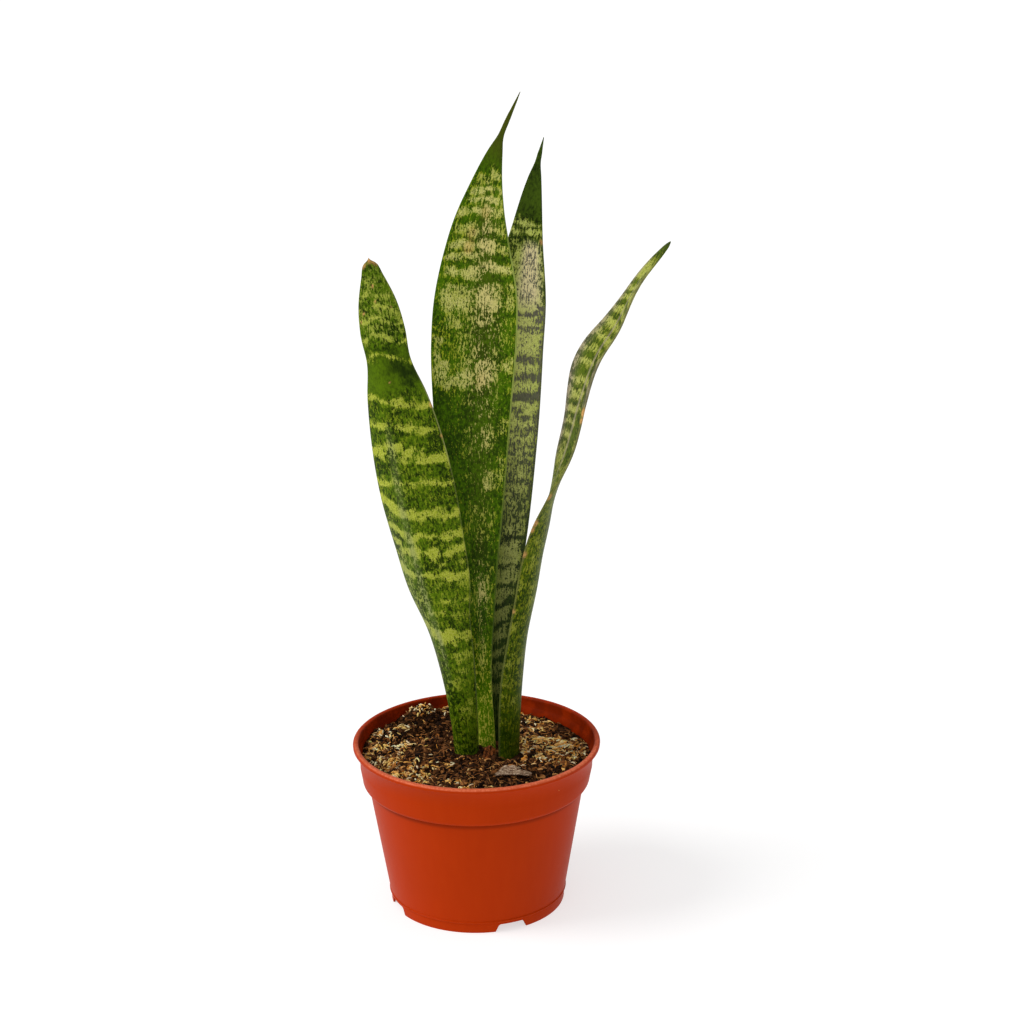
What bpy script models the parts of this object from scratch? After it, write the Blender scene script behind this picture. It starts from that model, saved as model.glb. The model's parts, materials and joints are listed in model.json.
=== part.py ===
"""A snake plant with four banded leaves, growing in a round nursery pot.

Every size below is in millimetres and is turned into metres where a mesh is made. The pot's axis
is the Z axis of the drawing, and the front of the plant faces -Y. At the end the whole plant is
moved by one empty, so that the origin lies under the middle of its bounding box.
"""

import math
import random

import bmesh
import bpy
import numpy as np

MM = 0.001
GAP = 0.3  # clearance between two pieces that touch

# Pot: a turned shell with a flared lip, a shoulder and a foot skirt
LIP_RADIUS = 53.7
LIP_TOP = 74.6
LIP_WIDTH = 2.6
LIP_SECTION = (  # out from its inner side, down from its top
    (0, 0.6), (0.4, 0.1), (1.5, 0), (2.3, 0.3), (2.6, 0.9), (2.6, 1.7),
)
BAND_TOP_RADIUS = 50.3
BAND_TOP = 63.0
FLARE_TOP = 72.6
FLARE_TOP_INSIDE = 70.6  # above it the inside rises straight to the lip
FLARE_RADIUS = 18.2
SHOULDER_RADIUS = 49.2
SHOULDER_HEIGHT = 57.4
SHOULDER_ROLL = 2.2
WALL_TOP_RADIUS = 46.4
WALL_TOP = 54.1
WALL_FOOT_RADIUS = 38.4
RIDGE_HEIGHT = 5.2
RIDGE_STAND = 0.25  # how far the ridge stands out from the wall
RIDGE_HALF = 0.3
FOOT_RADIUS = 37.8
FOOT_DRAFT = 0.4  # how much narrower the skirt is at the ground
FOOT_EDGE = 0.3
WALL = 1.0
FLOOR_TOP = 7.2
FLOOR_UNDER = 6.0
POT_STEPS = 64
NOTCH_WIDTH = 14.4  # at the ground
NOTCH_NARROWING = 3.4
NOTCH_HEIGHT = 3.5
NOTCH_ROUNDING = 0.9
NOTCH_REACH = 5.0  # how far its cutter passes the skirt on either side
NOTCH_ANGLES = (-68, 22, 112, 202)  # degrees, from the front towards +X
DRAIN_RADIUS = 4.0
DRAIN_CIRCLE = 25.0
DRAIN_HOLES = 6
DRAIN_SEGMENTS = 16

# Soil: a mound that fills the pot to a few millimetres under its lip
SOIL_EDGE = 66.0
SOIL_EDGE_HIGHEST = 70.0
SOIL_RINGS = 11
EDGE_MARGIN = 0.1  # more clearance at the wall, whose facets cut inside its round
HEAPS = (  # x, y, height, spread
    (3, -2, 4.0, 22),
    (-26, 38, 9.0, 8.5),
    (-10, 42, 4.5, 9),
    (-45, 18, 4.6, 16),
    (15.5, -22.3, 5.0, 4.6),
    (-17, 6, 2.4, 9),
    (-30, -16, 1.6, 12),
    (30, 8, 2.0, 11),
    (24, 33, 1.6, 10),
    (28, -12, 1.8, 10),
    (4, -27, 1.6, 11),
    (-24, 21, -2.2, 5),
    (-8, 18, -1.6, 7),
)
WAVES = (  # height, wavelength across, wavelength back, start
    (0.35, 14, 23, 0.8),
    (0.35, -12, 17, 2.1),
    (0.3, 31, -22, 2.0),
    (0.2, 8, -36, 0.3),
)
EDGE_CALM = 6.0  # the waves die out over this distance from the wall
CHIP_COUNT = 70
CHIP_SEED = 7
CHIP_MARGIN = 4.5  # what a chip keeps from the wall
CHIP_LENGTHS = (1.8, 3.4)  # half lengths
CHIP_HEIGHTS = (0.9, 1.4)
CHIP_RAGGEDNESS = (0.8, 1.15)
CHIP_TILT = 0.35  # radians
CHIP_LIFT = 0.15
PERLITE_SHARE = 0.14  # perlite grains among the chips
PERLITE_LENGTHS = (1.3, 2.0)
LEAF_BERTH = 9.0  # what a chip keeps from the middle of a leaf, of the scale and of the flake
SCALE_BERTH = 8.0
FLAKE_BERTH = 11.5

# Leaves rise from the rhizome, which lies this deep
LEAF_FOOT = 46.0
HOLE_TOP = 88.0  # the cutters of the leaves' holes end here, above every heap
RHIZOME_TOP = LEAF_FOOT - GAP
RHIZOME_RADIUS = 6.5
RHIZOME_TAPER = 0.25
RHIZOME_START = ((-19, -9, 3), (-11, -7, 1))  # x, y, depth under the leaves' level
RHIZOME_END = ((13, 14, 2), (15, 21, 5))
SPUR_RADIUS = 5.9
SPUR_TAPER = 0.3
SPUR_END = (22, -13, 2)
COLLAR_MARGIN = 0.9  # how far a collar reaches past the leaf that it carries
COLLAR_SEGMENTS = 20
ROOT_COUNT = 7
ROOT_RADIUS = 1.0
ROOT_LENGTHS = (19, 25)
ROOT_DROP = 18.0
ROOT_START = 2.0  # under the stem's middle line

# A leaf is described along its height. spine: height, x, y. width: height, half width.
# turn: height, degrees that the blade is turned about its spine, 0 when it faces the front.
# cup: height, how far the margins come forward of the middle. thick: height, thickness.
# keel: where across the blade it is folded, from -1 at one margin to 1 at the other.
# softness: how wide that fold is.
LEAF_COLUMNS = 8
LEAF_RINGS = 34
BLADE_EDGE = 0.7
BLADE_FULLNESS = 0.7  # below 1 the blade keeps its thickness further towards its margins
LEAVES = {
    "leaf_left": {
        "spine": (
            (46, -4, -4), (70, -4.2, -4), (112, -8.5, -7), (146, -15.8, -9.5), (182, -23, -12.5),
            (229, -30.3, -15.5), (254, -34.1, -17.5), (276, -37.3, -17.5), (293, -40, -18),
        ),
        "width": (
            (46, 4.7), (70, 5), (112, 7.5), (128, 9), (148, 13.2), (165, 14.4), (190, 15.6),
            (215, 14.3), (233, 11.9), (249, 8.7), (262, 8.9), (274, 7.5), (285, 4.3), (291, 2.2),
            (293, 0.8),
        ),
        "turn": ((46, -10), (126, -18), (190, -18), (293, 0)),
        "cup": ((46, -0.5), (95, -1.8), (146, -5), (182, -6), (229, -4.2), (250, -2), (293, 0)),
        "thick": ((46, 5.5), (112, 5), (200, 3.2), (293, 1.4)),
        "keel": -0.35,
        "softness": 0.3,
    },
    "leaf_tall": {
        "spine": (
            (46, 5.1, 2), (70, 4.9, 2), (119, 2.8, 3.2), (182, 0.7, 4.6), (226, 0.8, 5),
            (267, 2.7, 5), (308, 6, 4.8), (334, 12.7, 4.4), (355, 21.8, 4),
        ),
        "width": (
            (46, 3.4), (70, 3.4), (100, 3.4), (137, 6.9), (182, 12.5), (226, 16.2), (250, 17.4),
            (270, 16.8), (295, 12.1), (319, 5.8), (331, 2.7), (337, 1), (343, 0.7), (355, 0.4),
        ),
        "turn": ((46, 0), (355, 0)),
        "cup": (
            (46, 0.5), (100, 0.8), (137, 2.2), (190, 3.2), (250, 2.8), (320, 0.8), (337, 0), (355, 0),
        ),
        "thick": ((46, 6), (119, 5), (220, 3), (355, 0.8)),
        "keel": 0.0,
        "softness": 0.9,
    },
    "leaf_rear": {
        "spine": (
            (46, 9.1, 10), (70, 9.1, 10.2), (104, 9, 12.6), (150, 12.8, 17), (203, 16.3, 21.1),
            (254, 19.2, 24.1), (291, 24.1, 24.8), (321, 29.1, 24.4), (332, 31.7, 24),
        ),
        "width": (
            (46, 3), (70, 3), (104, 3.9), (128, 5.8), (150, 8.3), (203, 11.4), (240, 12.3),
            (262, 11.8), (291, 6.7), (316, 2.3), (322, 0.9), (326, 0.65), (332, 0.4),
        ),
        "turn": ((46, 0), (332, 0)),
        "cup": ((46, 0.5), (104, 1.8), (150, 3), (203, 3.2), (276, 2.4), (321, 0.2), (332, 0)),
        "thick": ((46, 5), (110, 4.2), (200, 2.6), (332, 0.8)),
        "keel": 0.0,
        "softness": 0.9,
    },
    "leaf_right": {
        "spine": (
            (46, 14.6, -7), (74, 14.6, -7), (106, 16.6, -8.8), (124, 19.2, -9.4), (144, 23.1, -9.8),
            (158, 25.5, -10),
            (190, 33.9, -10), (210, 40.2, -9.5), (231, 45.7, -9), (250, 52.8, -8.6),
            (260, 59.2, -8.5), (281, 70.8, -8.2), (295.5, 81.9, -8),
        ),
        "width": (
            (46, 5), (74, 5.2), (95, 6.2), (112, 7.4), (128, 7.7), (158, 8.2), (190, 9.4), (221, 9.8),
            (250, 8.9), (262, 7.6), (272, 5.6), (287, 2.7), (295.5, 0.6),
        ),
        "turn": (
            (46, -150), (87, -144), (119, -127), (158, -126), (175, -118), (190, -98), (205, -80),
            (221, -75), (260, -74), (281, -82), (295.5, -60),
        ),
        "cup": (
            (46, 0.3), (106, 1.2), (158, 1.5), (200, 0.9), (221, 1), (241, 3.2), (260, 1.8),
            (281, 0.9), (295.5, 0),
        ),
        "thick": ((46, 6), (110, 4.4), (200, 2.6), (295.5, 1.3)),
        "keel": 0.2,
        "softness": 0.5,
    },
}

# The dry scale at the foot of the leaves: part of a thin upright tube
SCALE_PLACE = (5.8, -11.8)
SCALE_FOOT = 62.0
SCALE_HEIGHT = 12.2
SCALE_RADIUS = 3.0
SCALE_THICK = 0.8
SCALE_SPREAD = 70  # degrees, how far round it reaches to either side
SCALE_NARROWING = 0.45  # how much of that it loses at its top
SCALE_TORN = 0.9  # how uneven its top edge is
SCALE_LEAN = 12  # degrees, back towards the leaves
SCALE_TURN = -8
SCALE_GRID = (7, 7)  # points up and across

# The flake on the soil: its front edge is straight and its back edge rises to a blunt peak
FLAKE_PLACE = (15.8, -26.6, 70.9)
FLAKE_SIZE = (15.6, 5.4)
FLAKE_PEAK = -0.35  # along its length, from -1 to 1
FLAKE_ENDS = 0.3  # the share of its width that it keeps at its ends
FLAKE_RAGGED = 0.3
FLAKE_THICK = 0.9
FLAKE_ARCH = 0.8
FLAKE_TILT = 25  # degrees, its back edge up on a hump of the soil
FLAKE_TURN = -3
FLAKE_GRID = (5, 11)

# Half the difference between the leaf tip's reach on the right and the lip's on the left
MIDDLE_X = 14.35

COLOURS = {  # base colour, roughness
    "terracotta": ((0.56, 0.075, 0.012), 0.42),
    "peat": ((0.045, 0.022, 0.010), 0.95),
    "bark": ((0.42, 0.24, 0.08), 0.85),
    "perlite": ((0.72, 0.66, 0.52), 0.8),
    "leaf": ((0.055, 0.14, 0.018), 0.38),
    "rhizome": ((0.55, 0.36, 0.16), 0.7),
    "dry_scale": ((0.20, 0.075, 0.03), 0.8),
    "grey_bark": ((0.27, 0.22, 0.18), 0.9),
}


def clear_scene():
    for obj in list(bpy.data.objects):
        bpy.data.objects.remove(obj, do_unlink=True)


def new_collection(name, helper=False):
    collection = bpy.data.collections.new(name)
    bpy.context.scene.collection.children.link(collection)
    collection.hide_render = helper
    return collection


def remove_collection(collection):
    for obj in list(collection.objects):
        bpy.data.objects.remove(obj, do_unlink=True)
    bpy.data.collections.remove(collection)


def material(name):
    colour, roughness = COLOURS[name]
    made = bpy.data.materials.get(name) or bpy.data.materials.new(name)
    made.use_nodes = True
    shader = made.node_tree.nodes["Principled BSDF"]
    shader.inputs["Base Color"].default_value = (*colour, 1.0)
    shader.inputs["Roughness"].default_value = roughness
    shader.inputs["Metallic"].default_value = 0.0
    made.diffuse_color = (*colour, 1.0)
    return made


def add_object(name, mesh, collection, material_name=None):
    obj = bpy.data.objects.new(name, mesh)
    collection.objects.link(obj)
    if material_name:
        mesh.materials.clear()
        mesh.materials.append(material(material_name))
    if collection.hide_render:
        obj.hide_render = True
        obj.display_type = "WIRE"
    return obj


def mesh_from(name, points, faces):
    """A mesh from points in millimetres, with its faces turned outwards."""
    mesh = bpy.data.meshes.new(name)
    mesh.from_pydata([tuple(float(c) * MM for c in point) for point in points], [], faces)
    shape = bmesh.new()
    shape.from_mesh(mesh)
    bmesh.ops.recalc_face_normals(shape, faces=shape.faces)
    shape.to_mesh(mesh)
    shape.free()
    return mesh


def mesh_from_bmesh(name, shape):
    """A mesh from a bmesh in millimetres, with its faces turned outwards."""
    bmesh.ops.recalc_face_normals(shape, faces=shape.faces)
    bmesh.ops.scale(shape, vec=(MM, MM, MM), verts=shape.verts)
    mesh = bpy.data.meshes.new(name)
    shape.to_mesh(mesh)
    shape.free()
    return mesh


def freeze(obj):
    """Replaces the object's mesh with what its modifiers make of it."""
    graph = bpy.context.evaluated_depsgraph_get()
    mesh = bpy.data.meshes.new_from_object(obj.evaluated_get(graph))
    obj.modifiers.clear()
    obj.data = mesh


def boolean(obj, operation, collection):
    """Joins every object of the collection to this one, or cuts it with them."""
    modifier = obj.modifiers.new(operation.lower(), "BOOLEAN")
    modifier.operation = operation
    modifier.solver = "EXACT"
    modifier.operand_type = "COLLECTION"
    modifier.collection = collection
    return modifier


def turned(name, outline, steps, collection, material_name):
    """Turns an outline of (radius, height) about the Z axis."""
    mesh = mesh_from(name, [(radius, 0, height) for radius, height in outline], [])
    mesh.edges.add(len(outline) - 1)
    for i, edge in enumerate(mesh.edges):
        edge.vertices = (i, i + 1)
    obj = add_object(name, mesh, collection, material_name)
    screw = obj.modifiers.new("turn", "SCREW")
    screw.axis = "Z"
    screw.steps = steps
    screw.render_steps = steps
    screw.use_merge_vertices = True
    screw.merge_threshold = 0.00001
    screw.use_smooth_shade = True
    return obj


def arc(centre, radius, start, end, count):
    """Points on an arc, angles in degrees."""
    angles = np.radians(np.linspace(start, end, count))
    return [(centre[0] + radius * math.cos(a), centre[1] + radius * math.sin(a)) for a in angles]


def flare_radius(height):
    """The outer radius of the band where it flares towards the lip."""
    return BAND_TOP_RADIUS + FLARE_RADIUS - math.sqrt(FLARE_RADIUS ** 2 - (height - BAND_TOP) ** 2)


def wall_outline(inset, flare_top, flare_points, roll_points):
    """The pot's side from the top of its flare down to the ridge, moved inwards by inset."""
    flare_end = 180 - math.degrees(math.asin((flare_top - BAND_TOP) / FLARE_RADIUS))
    flare_centre = (BAND_TOP_RADIUS + FLARE_RADIUS, BAND_TOP)
    roll_centre = (SHOULDER_RADIUS - SHOULDER_ROLL, SHOULDER_HEIGHT)
    side = arc(flare_centre, FLARE_RADIUS, flare_end, 180, flare_points)
    side += arc(roll_centre, SHOULDER_ROLL, 0, -75, roll_points)
    side += [(WALL_TOP_RADIUS, WALL_TOP), (WALL_FOOT_RADIUS, RIDGE_HEIGHT + 2 * RIDGE_HALF)]
    return [(radius - inset, height) for radius, height in side]


def pot_outline():
    """From the floor's middle up the inside, over the lip and down the outside."""
    inner = wall_outline(WALL, FLARE_TOP_INSIDE, flare_points=3, roll_points=2)[:-1]
    inner.append((WALL_FOOT_RADIUS - WALL, FLOOR_TOP))
    lip = [(LIP_RADIUS - LIP_WIDTH + out, LIP_TOP - down) for out, down in LIP_SECTION]
    outer = wall_outline(0, FLARE_TOP, flare_points=4, roll_points=3)
    ridge = [
        (WALL_FOOT_RADIUS + RIDGE_STAND, RIDGE_HEIGHT + RIDGE_HALF),
        (WALL_FOOT_RADIUS + RIDGE_STAND, RIDGE_HEIGHT - RIDGE_HALF),
    ]
    foot = [
        (FOOT_RADIUS + FOOT_DRAFT, RIDGE_HEIGHT - 2 * RIDGE_HALF),
        (FOOT_RADIUS, FOOT_EDGE),
        (FOOT_RADIUS - FOOT_EDGE, 0),
        (FOOT_RADIUS - WALL, 0),
        (FOOT_RADIUS - WALL, FLOOR_UNDER),
    ]
    return [(0, FLOOR_TOP)] + inner[::-1] + lip + outer + ridge + foot + [(0, FLOOR_UNDER)]


def notch_cutter(angle, cutters):
    """A slot through the foot skirt, seen from outside as a low flat arch."""
    shape = bmesh.new()
    bmesh.ops.create_cube(shape, size=2.0)
    for vertex in shape.verts:
        side, out, up = vertex.co
        width = NOTCH_WIDTH - NOTCH_NARROWING * up
        vertex.co = (side * width / 2, out * NOTCH_REACH, up * NOTCH_HEIGHT)
    cutter = add_object(f"notch_{angle}", mesh_from_bmesh("notch", shape), cutters)
    bevel = cutter.modifiers.new("round", "BEVEL")
    bevel.width = NOTCH_ROUNDING * MM
    bevel.segments = 2
    around = math.radians(angle)
    cutter.location = (math.sin(around) * FOOT_RADIUS * MM, -math.cos(around) * FOOT_RADIUS * MM, 0)
    cutter.rotation_euler.z = around


def drain_cutter(index, cutters):
    shape = bmesh.new()
    bmesh.ops.create_cone(
        shape,
        cap_ends=True,
        segments=DRAIN_SEGMENTS,
        radius1=DRAIN_RADIUS,
        radius2=DRAIN_RADIUS,
        depth=5 * (FLOOR_TOP - FLOOR_UNDER),
    )
    cutter = add_object(f"drain_{index}", mesh_from_bmesh("drain", shape), cutters)
    around = 2 * math.pi * (index + 0.5) / DRAIN_HOLES
    middle = (FLOOR_TOP + FLOOR_UNDER) / 2
    cutter.location = (
        math.cos(around) * DRAIN_CIRCLE * MM, math.sin(around) * DRAIN_CIRCLE * MM, middle * MM
    )


def build_pot(parts):
    cutters = new_collection("pot_cutters", helper=True)
    for angle in NOTCH_ANGLES:
        notch_cutter(angle, cutters)
    for index in range(DRAIN_HOLES):
        drain_cutter(index, cutters)
    pot = turned("pot", pot_outline(), POT_STEPS, parts, "terracotta")
    boolean(pot, "DIFFERENCE", cutters)
    freeze(pot)


def through(rows, heights):
    """Smooth curves through rows of (height, value, ...), read at the heights."""
    table = np.array(rows, float)
    knots, values = table[:, 0], table[:, 1:]
    slopes = np.gradient(values, knots, axis=0)
    i = np.clip(np.searchsorted(knots, heights, side="right") - 1, 0, len(knots) - 2)
    span = (knots[i + 1] - knots[i])[:, None]
    t = (heights - knots[i])[:, None] / span
    return (
        (1 + 2 * t) * (1 - t) ** 2 * values[i]
        + t * (1 - t) ** 2 * span * slopes[i]
        + t * t * (3 - 2 * t) * values[i + 1]
        + t * t * (t - 1) * span * slopes[i + 1]
    )


def unit(vectors):
    return vectors / np.linalg.norm(vectors, axis=-1, keepdims=True)


def leaf_sides(leaf, heights, grow):
    """The blade's front and back points: one row a height, from one margin to the other."""
    centre = np.column_stack([through(leaf["spine"], heights), heights])
    half_width = np.abs(through(leaf["width"], heights)) + grow
    turn = np.radians(through(leaf["turn"], heights))
    cup = through(leaf["cup"], heights)
    thick = np.interp(heights, *zip(*leaf["thick"]))[:, None]
    thick = np.maximum(np.minimum(thick, 1.3 * half_width + 0.2), BLADE_EDGE)

    along = unit(np.gradient(centre, axis=0))
    level = unit(np.array([1.0, 0.0, 0.0]) - along[:, :1] * along)
    depth = np.cross(along, level)
    across = np.cos(turn) * level + np.sin(turn) * depth
    facing = np.sin(turn) * level - np.cos(turn) * depth

    even = np.linspace(-1, 1, LEAF_COLUMNS + 1)
    s = (even + np.sin(even * math.pi / 2)) / 2
    keel, softness = leaf["keel"], leaf["softness"]
    reach = math.hypot(1, softness) - softness
    lift = (np.hypot(s - keel, softness) - softness) / reach
    slope = cup / half_width * (s - keel) / np.hypot(s - keel, softness) / reach
    half = (BLADE_EDGE + (thick - BLADE_EDGE) * (1 - s * s) ** BLADE_FULLNESS) / 2 + grow

    middle = (
        centre[:, None]
        + across[:, None] * (half_width * s)[:, :, None]
        + facing[:, None] * (cup * lift)[:, :, None]
    )
    outward = unit(facing[:, None] - across[:, None] * slope[:, :, None])
    return middle + outward * half[:, :, None], middle - outward * half[:, :, None]


def leaf_mesh(name, leaf, heights, grow=0.0):
    """A closed blade. Both faces are split along the same diagonals."""
    front, back = leaf_sides(leaf, heights, grow)
    rows, columns = front.shape[:2]
    points = np.concatenate([front.reshape(-1, 3), back.reshape(-1, 3)])

    def at(side, row, column):
        return side * rows * columns + row * columns + column

    faces = []
    for row in range(rows - 1):
        for column in range(columns - 1):
            for side in (0, 1):
                a, b = at(side, row, column), at(side, row, column + 1)
                c, d = at(side, row + 1, column + 1), at(side, row + 1, column)
                faces += [(a, b, c), (a, c, d)]
        for column in (0, columns - 1):
            a, b = at(0, row, column), at(1, row, column)
            c, d = at(1, row + 1, column), at(0, row + 1, column)
            faces += [(a, b, c), (a, c, d)]
    for row in (0, rows - 1):
        faces.append(
            [at(0, row, c) for c in range(columns)] + [at(1, row, c) for c in reversed(range(columns))]
        )
    return mesh_from(name, points, faces)


def leaf_heights(leaf):
    return np.linspace(LEAF_FOOT, leaf["spine"][-1][0], LEAF_RINGS)


def build_leaf(name, parts):
    leaf = LEAVES[name]
    obj = add_object(name, leaf_mesh(name, leaf, leaf_heights(leaf)), parts, "leaf")
    obj.data.shade_smooth()
    obj.data.set_sharp_from_angle(angle=math.radians(60))


def leaf_hole_cutter(name, cutters):
    """The plain hole that a leaf's foot stands in, with clearance all round."""
    leaf = LEAVES[name]
    heights = leaf_heights(leaf)
    heights = heights[heights < HOLE_TOP]
    heights[0] -= 2 * GAP
    add_object(f"hole_{name}", leaf_mesh(f"hole_{name}", leaf, heights, GAP), cutters)


def tube(name, points, radius, resolution, taper, collection):
    """A round tube through the points, as a closed mesh."""
    curve = bpy.data.curves.new(name, "CURVE")
    curve.dimensions = "3D"
    curve.bevel_depth = radius * MM
    curve.bevel_resolution = resolution
    curve.use_fill_caps = True
    spline = curve.splines.new("POLY")
    spline.points.add(len(points) - 1)
    for i, point in enumerate(points):
        spline.points[i].co = (*(c * MM for c in point), 1.0)
        spline.points[i].radius = 1 - taper * i / (len(points) - 1)
    guide = bpy.data.objects.new(name, curve)
    collection.objects.link(guide)
    graph = bpy.context.evaluated_depsgraph_get()
    mesh = bpy.data.meshes.new_from_object(guide.evaluated_get(graph))
    bpy.data.objects.remove(guide, do_unlink=True)
    shape = bmesh.new()
    shape.from_mesh(mesh)
    bmesh.ops.remove_doubles(shape, verts=shape.verts, dist=0.00001)
    bmesh.ops.recalc_face_normals(shape, faces=shape.faces)
    shape.to_mesh(mesh)
    shape.free()
    return add_object(name, mesh, collection)


def leaf_foot(name):
    return LEAVES[name]["spine"][0][1:]


def rhizome_route():
    """The middle line of the creeping stem, under the feet of the leaves."""
    level = RHIZOME_TOP - RHIZOME_RADIUS
    left, tall, rear = (leaf_foot(name) for name in ("leaf_left", "leaf_tall", "leaf_rear"))
    under_rear = (rear[0] + 0.5, rear[1] - 4)
    route = [(x, y, level - down) for x, y, down in RHIZOME_START]
    route += [(*place, level) for place in (left, tall, under_rear)]
    return route + [(x, y, level - down) for x, y, down in RHIZOME_END]


def spur_route():
    """The branch that carries the leaf on the right."""
    level = RHIZOME_TOP - RHIZOME_RADIUS
    x, y, down = SPUR_END
    return [(*leaf_foot("leaf_tall"), level), (*leaf_foot("leaf_right"), level), (x, y, level - down)]


def root_route(index):
    """A root leaves the stem sideways and sinks towards the pot's wall."""
    draw = random.Random(index)
    x, y, z = rhizome_route()[1 + index % 5]
    around = 2 * math.pi * (index + draw.uniform(-0.2, 0.2)) / ROOT_COUNT
    length = draw.uniform(*ROOT_LENGTHS)
    route = []
    for step in np.linspace(0, 1, 5):
        inward = 1 - 0.4 * step
        route.append((
            x * inward + math.cos(around) * length * step,
            y * inward + math.sin(around) * length * step,
            z - ROOT_START - ROOT_DROP * step ** 1.6,
        ))
    return route


def collar(name, grow, collection):
    """The short stub of the rhizome that carries one leaf."""
    leaf = LEAVES[name]
    x, y = leaf_foot(name)
    reach = COLLAR_MARGIN + grow
    top = RHIZOME_TOP + grow
    foot = RHIZOME_TOP - RHIZOME_RADIUS - 1
    shape = bmesh.new()
    bmesh.ops.create_cone(
        shape, cap_ends=True, segments=COLLAR_SEGMENTS, radius1=1, radius2=1, depth=top - foot
    )
    size = (leaf["width"][0][1] + reach, leaf["thick"][0][1] / 2 + reach, 1)
    bmesh.ops.scale(shape, vec=size, verts=shape.verts)
    stub = add_object(f"collar_{name}", mesh_from_bmesh("collar", shape), collection)
    stub.location = (x * MM, y * MM, (top + foot) / 2 * MM)
    stub.rotation_euler.z = math.radians(leaf["turn"][0][1])


def build_rhizome(name, grow, collection, material_name=None):
    """The creeping stem, its collars and its roots, all thicker by grow."""
    stem = tube(name, rhizome_route(), RHIZOME_RADIUS + grow, 3, RHIZOME_TAPER, collection)
    branches = new_collection(f"{name}_branches", helper=True)
    tube(f"{name}_spur", spur_route(), SPUR_RADIUS + grow, 2, SPUR_TAPER, branches)
    for leaf_name in LEAVES:
        collar(leaf_name, grow, branches)
    for index in range(ROOT_COUNT):
        tube(f"{name}_root_{index}", root_route(index), ROOT_RADIUS + grow, 1, 0.0, branches)
    boolean(stem, "UNION", branches)
    freeze(stem)
    remove_collection(branches)
    if material_name:
        stem.data.materials.clear()
        stem.data.materials.append(material(material_name))
        stem.data.shade_smooth()
        stem.data.set_sharp_from_angle(angle=math.radians(50))


def shell_mesh(name, outer, inner, rows, columns):
    """A closed thin shell between two grids of points."""
    size = rows * columns
    faces = []
    for row in range(rows - 1):
        for column in range(columns - 1):
            a = row * columns + column
            for face in ((a, a + 1, a + columns + 1), (a, a + columns + 1, a + columns)):
                faces += [face, [size + i for i in face]]
    border = list(range(columns))
    border += [row * columns + columns - 1 for row in range(1, rows)]
    border += [(rows - 1) * columns + c for c in reversed(range(columns - 1))]
    border += [row * columns for row in reversed(range(1, rows - 1))]
    for a, b in zip(border, border[1:] + border[:1]):
        faces += [(b, a, size + a), (b, size + a, size + b)]
    return mesh_from(name, outer + inner, faces)


def scale_side(radius, grow):
    """One face of the dry scale. It narrows towards a torn top edge."""
    rows, columns = SCALE_GRID
    points = []
    for t in np.linspace(0, 1, rows):
        height = t * SCALE_HEIGHT + (2 * t - 1) * grow
        open_by = math.radians(SCALE_SPREAD) * (1 - SCALE_NARROWING * t * t) + grow / SCALE_RADIUS
        for across in np.linspace(-1, 1, columns):
            around = across * open_by
            torn = SCALE_TORN * math.sin(5 * across + 1) * t
            points.append((radius * math.sin(around), -radius * math.cos(around), height + torn))
    return points


def crown_scale(name, grow, collection, material_name=None):
    half = SCALE_THICK / 2 + grow
    outer, inner = scale_side(SCALE_RADIUS + half, grow), scale_side(SCALE_RADIUS - half, grow)
    obj = add_object(name, shell_mesh(name, outer, inner, *SCALE_GRID), collection, material_name)
    obj.location = (SCALE_PLACE[0] * MM, (SCALE_PLACE[1] + SCALE_RADIUS) * MM, SCALE_FOOT * MM)
    obj.rotation_euler.x = -math.radians(SCALE_LEAN)
    obj.rotation_euler.z = math.radians(SCALE_TURN)


def flake_side(side, grow):
    """One face of the flake: 1 for its top, -1 for its underside."""
    length, width = FLAKE_SIZE
    rows, columns = FLAKE_GRID
    points = []
    for v in np.linspace(-1, 1, rows):
        for u in np.linspace(-1, 1, columns):
            fall = (u - FLAKE_PEAK) / (math.copysign(1, u - FLAKE_PEAK) - FLAKE_PEAK)
            share = FLAKE_ENDS + (1 - FLAKE_ENDS) * math.cos(fall * math.pi / 2) ** 2
            back = width * share + FLAKE_RAGGED * math.sin(9 * u + 1)
            y = -width / 2 + (v + 1) / 2 * back + v * grow
            arch = FLAKE_ARCH * (1 - u * u) - 0.5 * FLAKE_ARCH * v * v
            points.append((u * (length / 2 + grow), y, arch + side * (FLAKE_THICK / 2 + grow)))
    return points


def bark_flake(name, grow, collection, material_name=None):
    """A thin arched flake with a ragged outline, pressed a little way into the soil."""
    mesh = shell_mesh(name, flake_side(1, grow), flake_side(-1, grow), *FLAKE_GRID)
    obj = add_object(name, mesh, collection, material_name)
    obj.location = [c * MM for c in FLAKE_PLACE]
    obj.rotation_euler = (math.radians(FLAKE_TILT), 0, math.radians(FLAKE_TURN))


def soil_height(x, y):
    """The height of the soil's surface, with its heaps and waves."""
    heaps = sum(h * math.exp(-((x - a) ** 2 + (y - b) ** 2) / s ** 2) for a, b, h, s in HEAPS)
    waves = sum(h * math.sin(2 * math.pi * (x / a + y / b) + start) for h, a, b, start in WAVES)
    inland = min(1.0, max(0.0, (BAND_TOP_RADIUS - math.hypot(x, y)) / EDGE_CALM))
    height = SOIL_EDGE + heaps * (0.6 + 0.4 * inland) + waves * inland
    return height if inland > 0.3 else min(height, SOIL_EDGE_HIGHEST)


def edge_radius(height):
    """How far the soil reaches where it meets the flare of the wall."""
    return flare_radius(height) - WALL - GAP - EDGE_MARGIN


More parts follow.
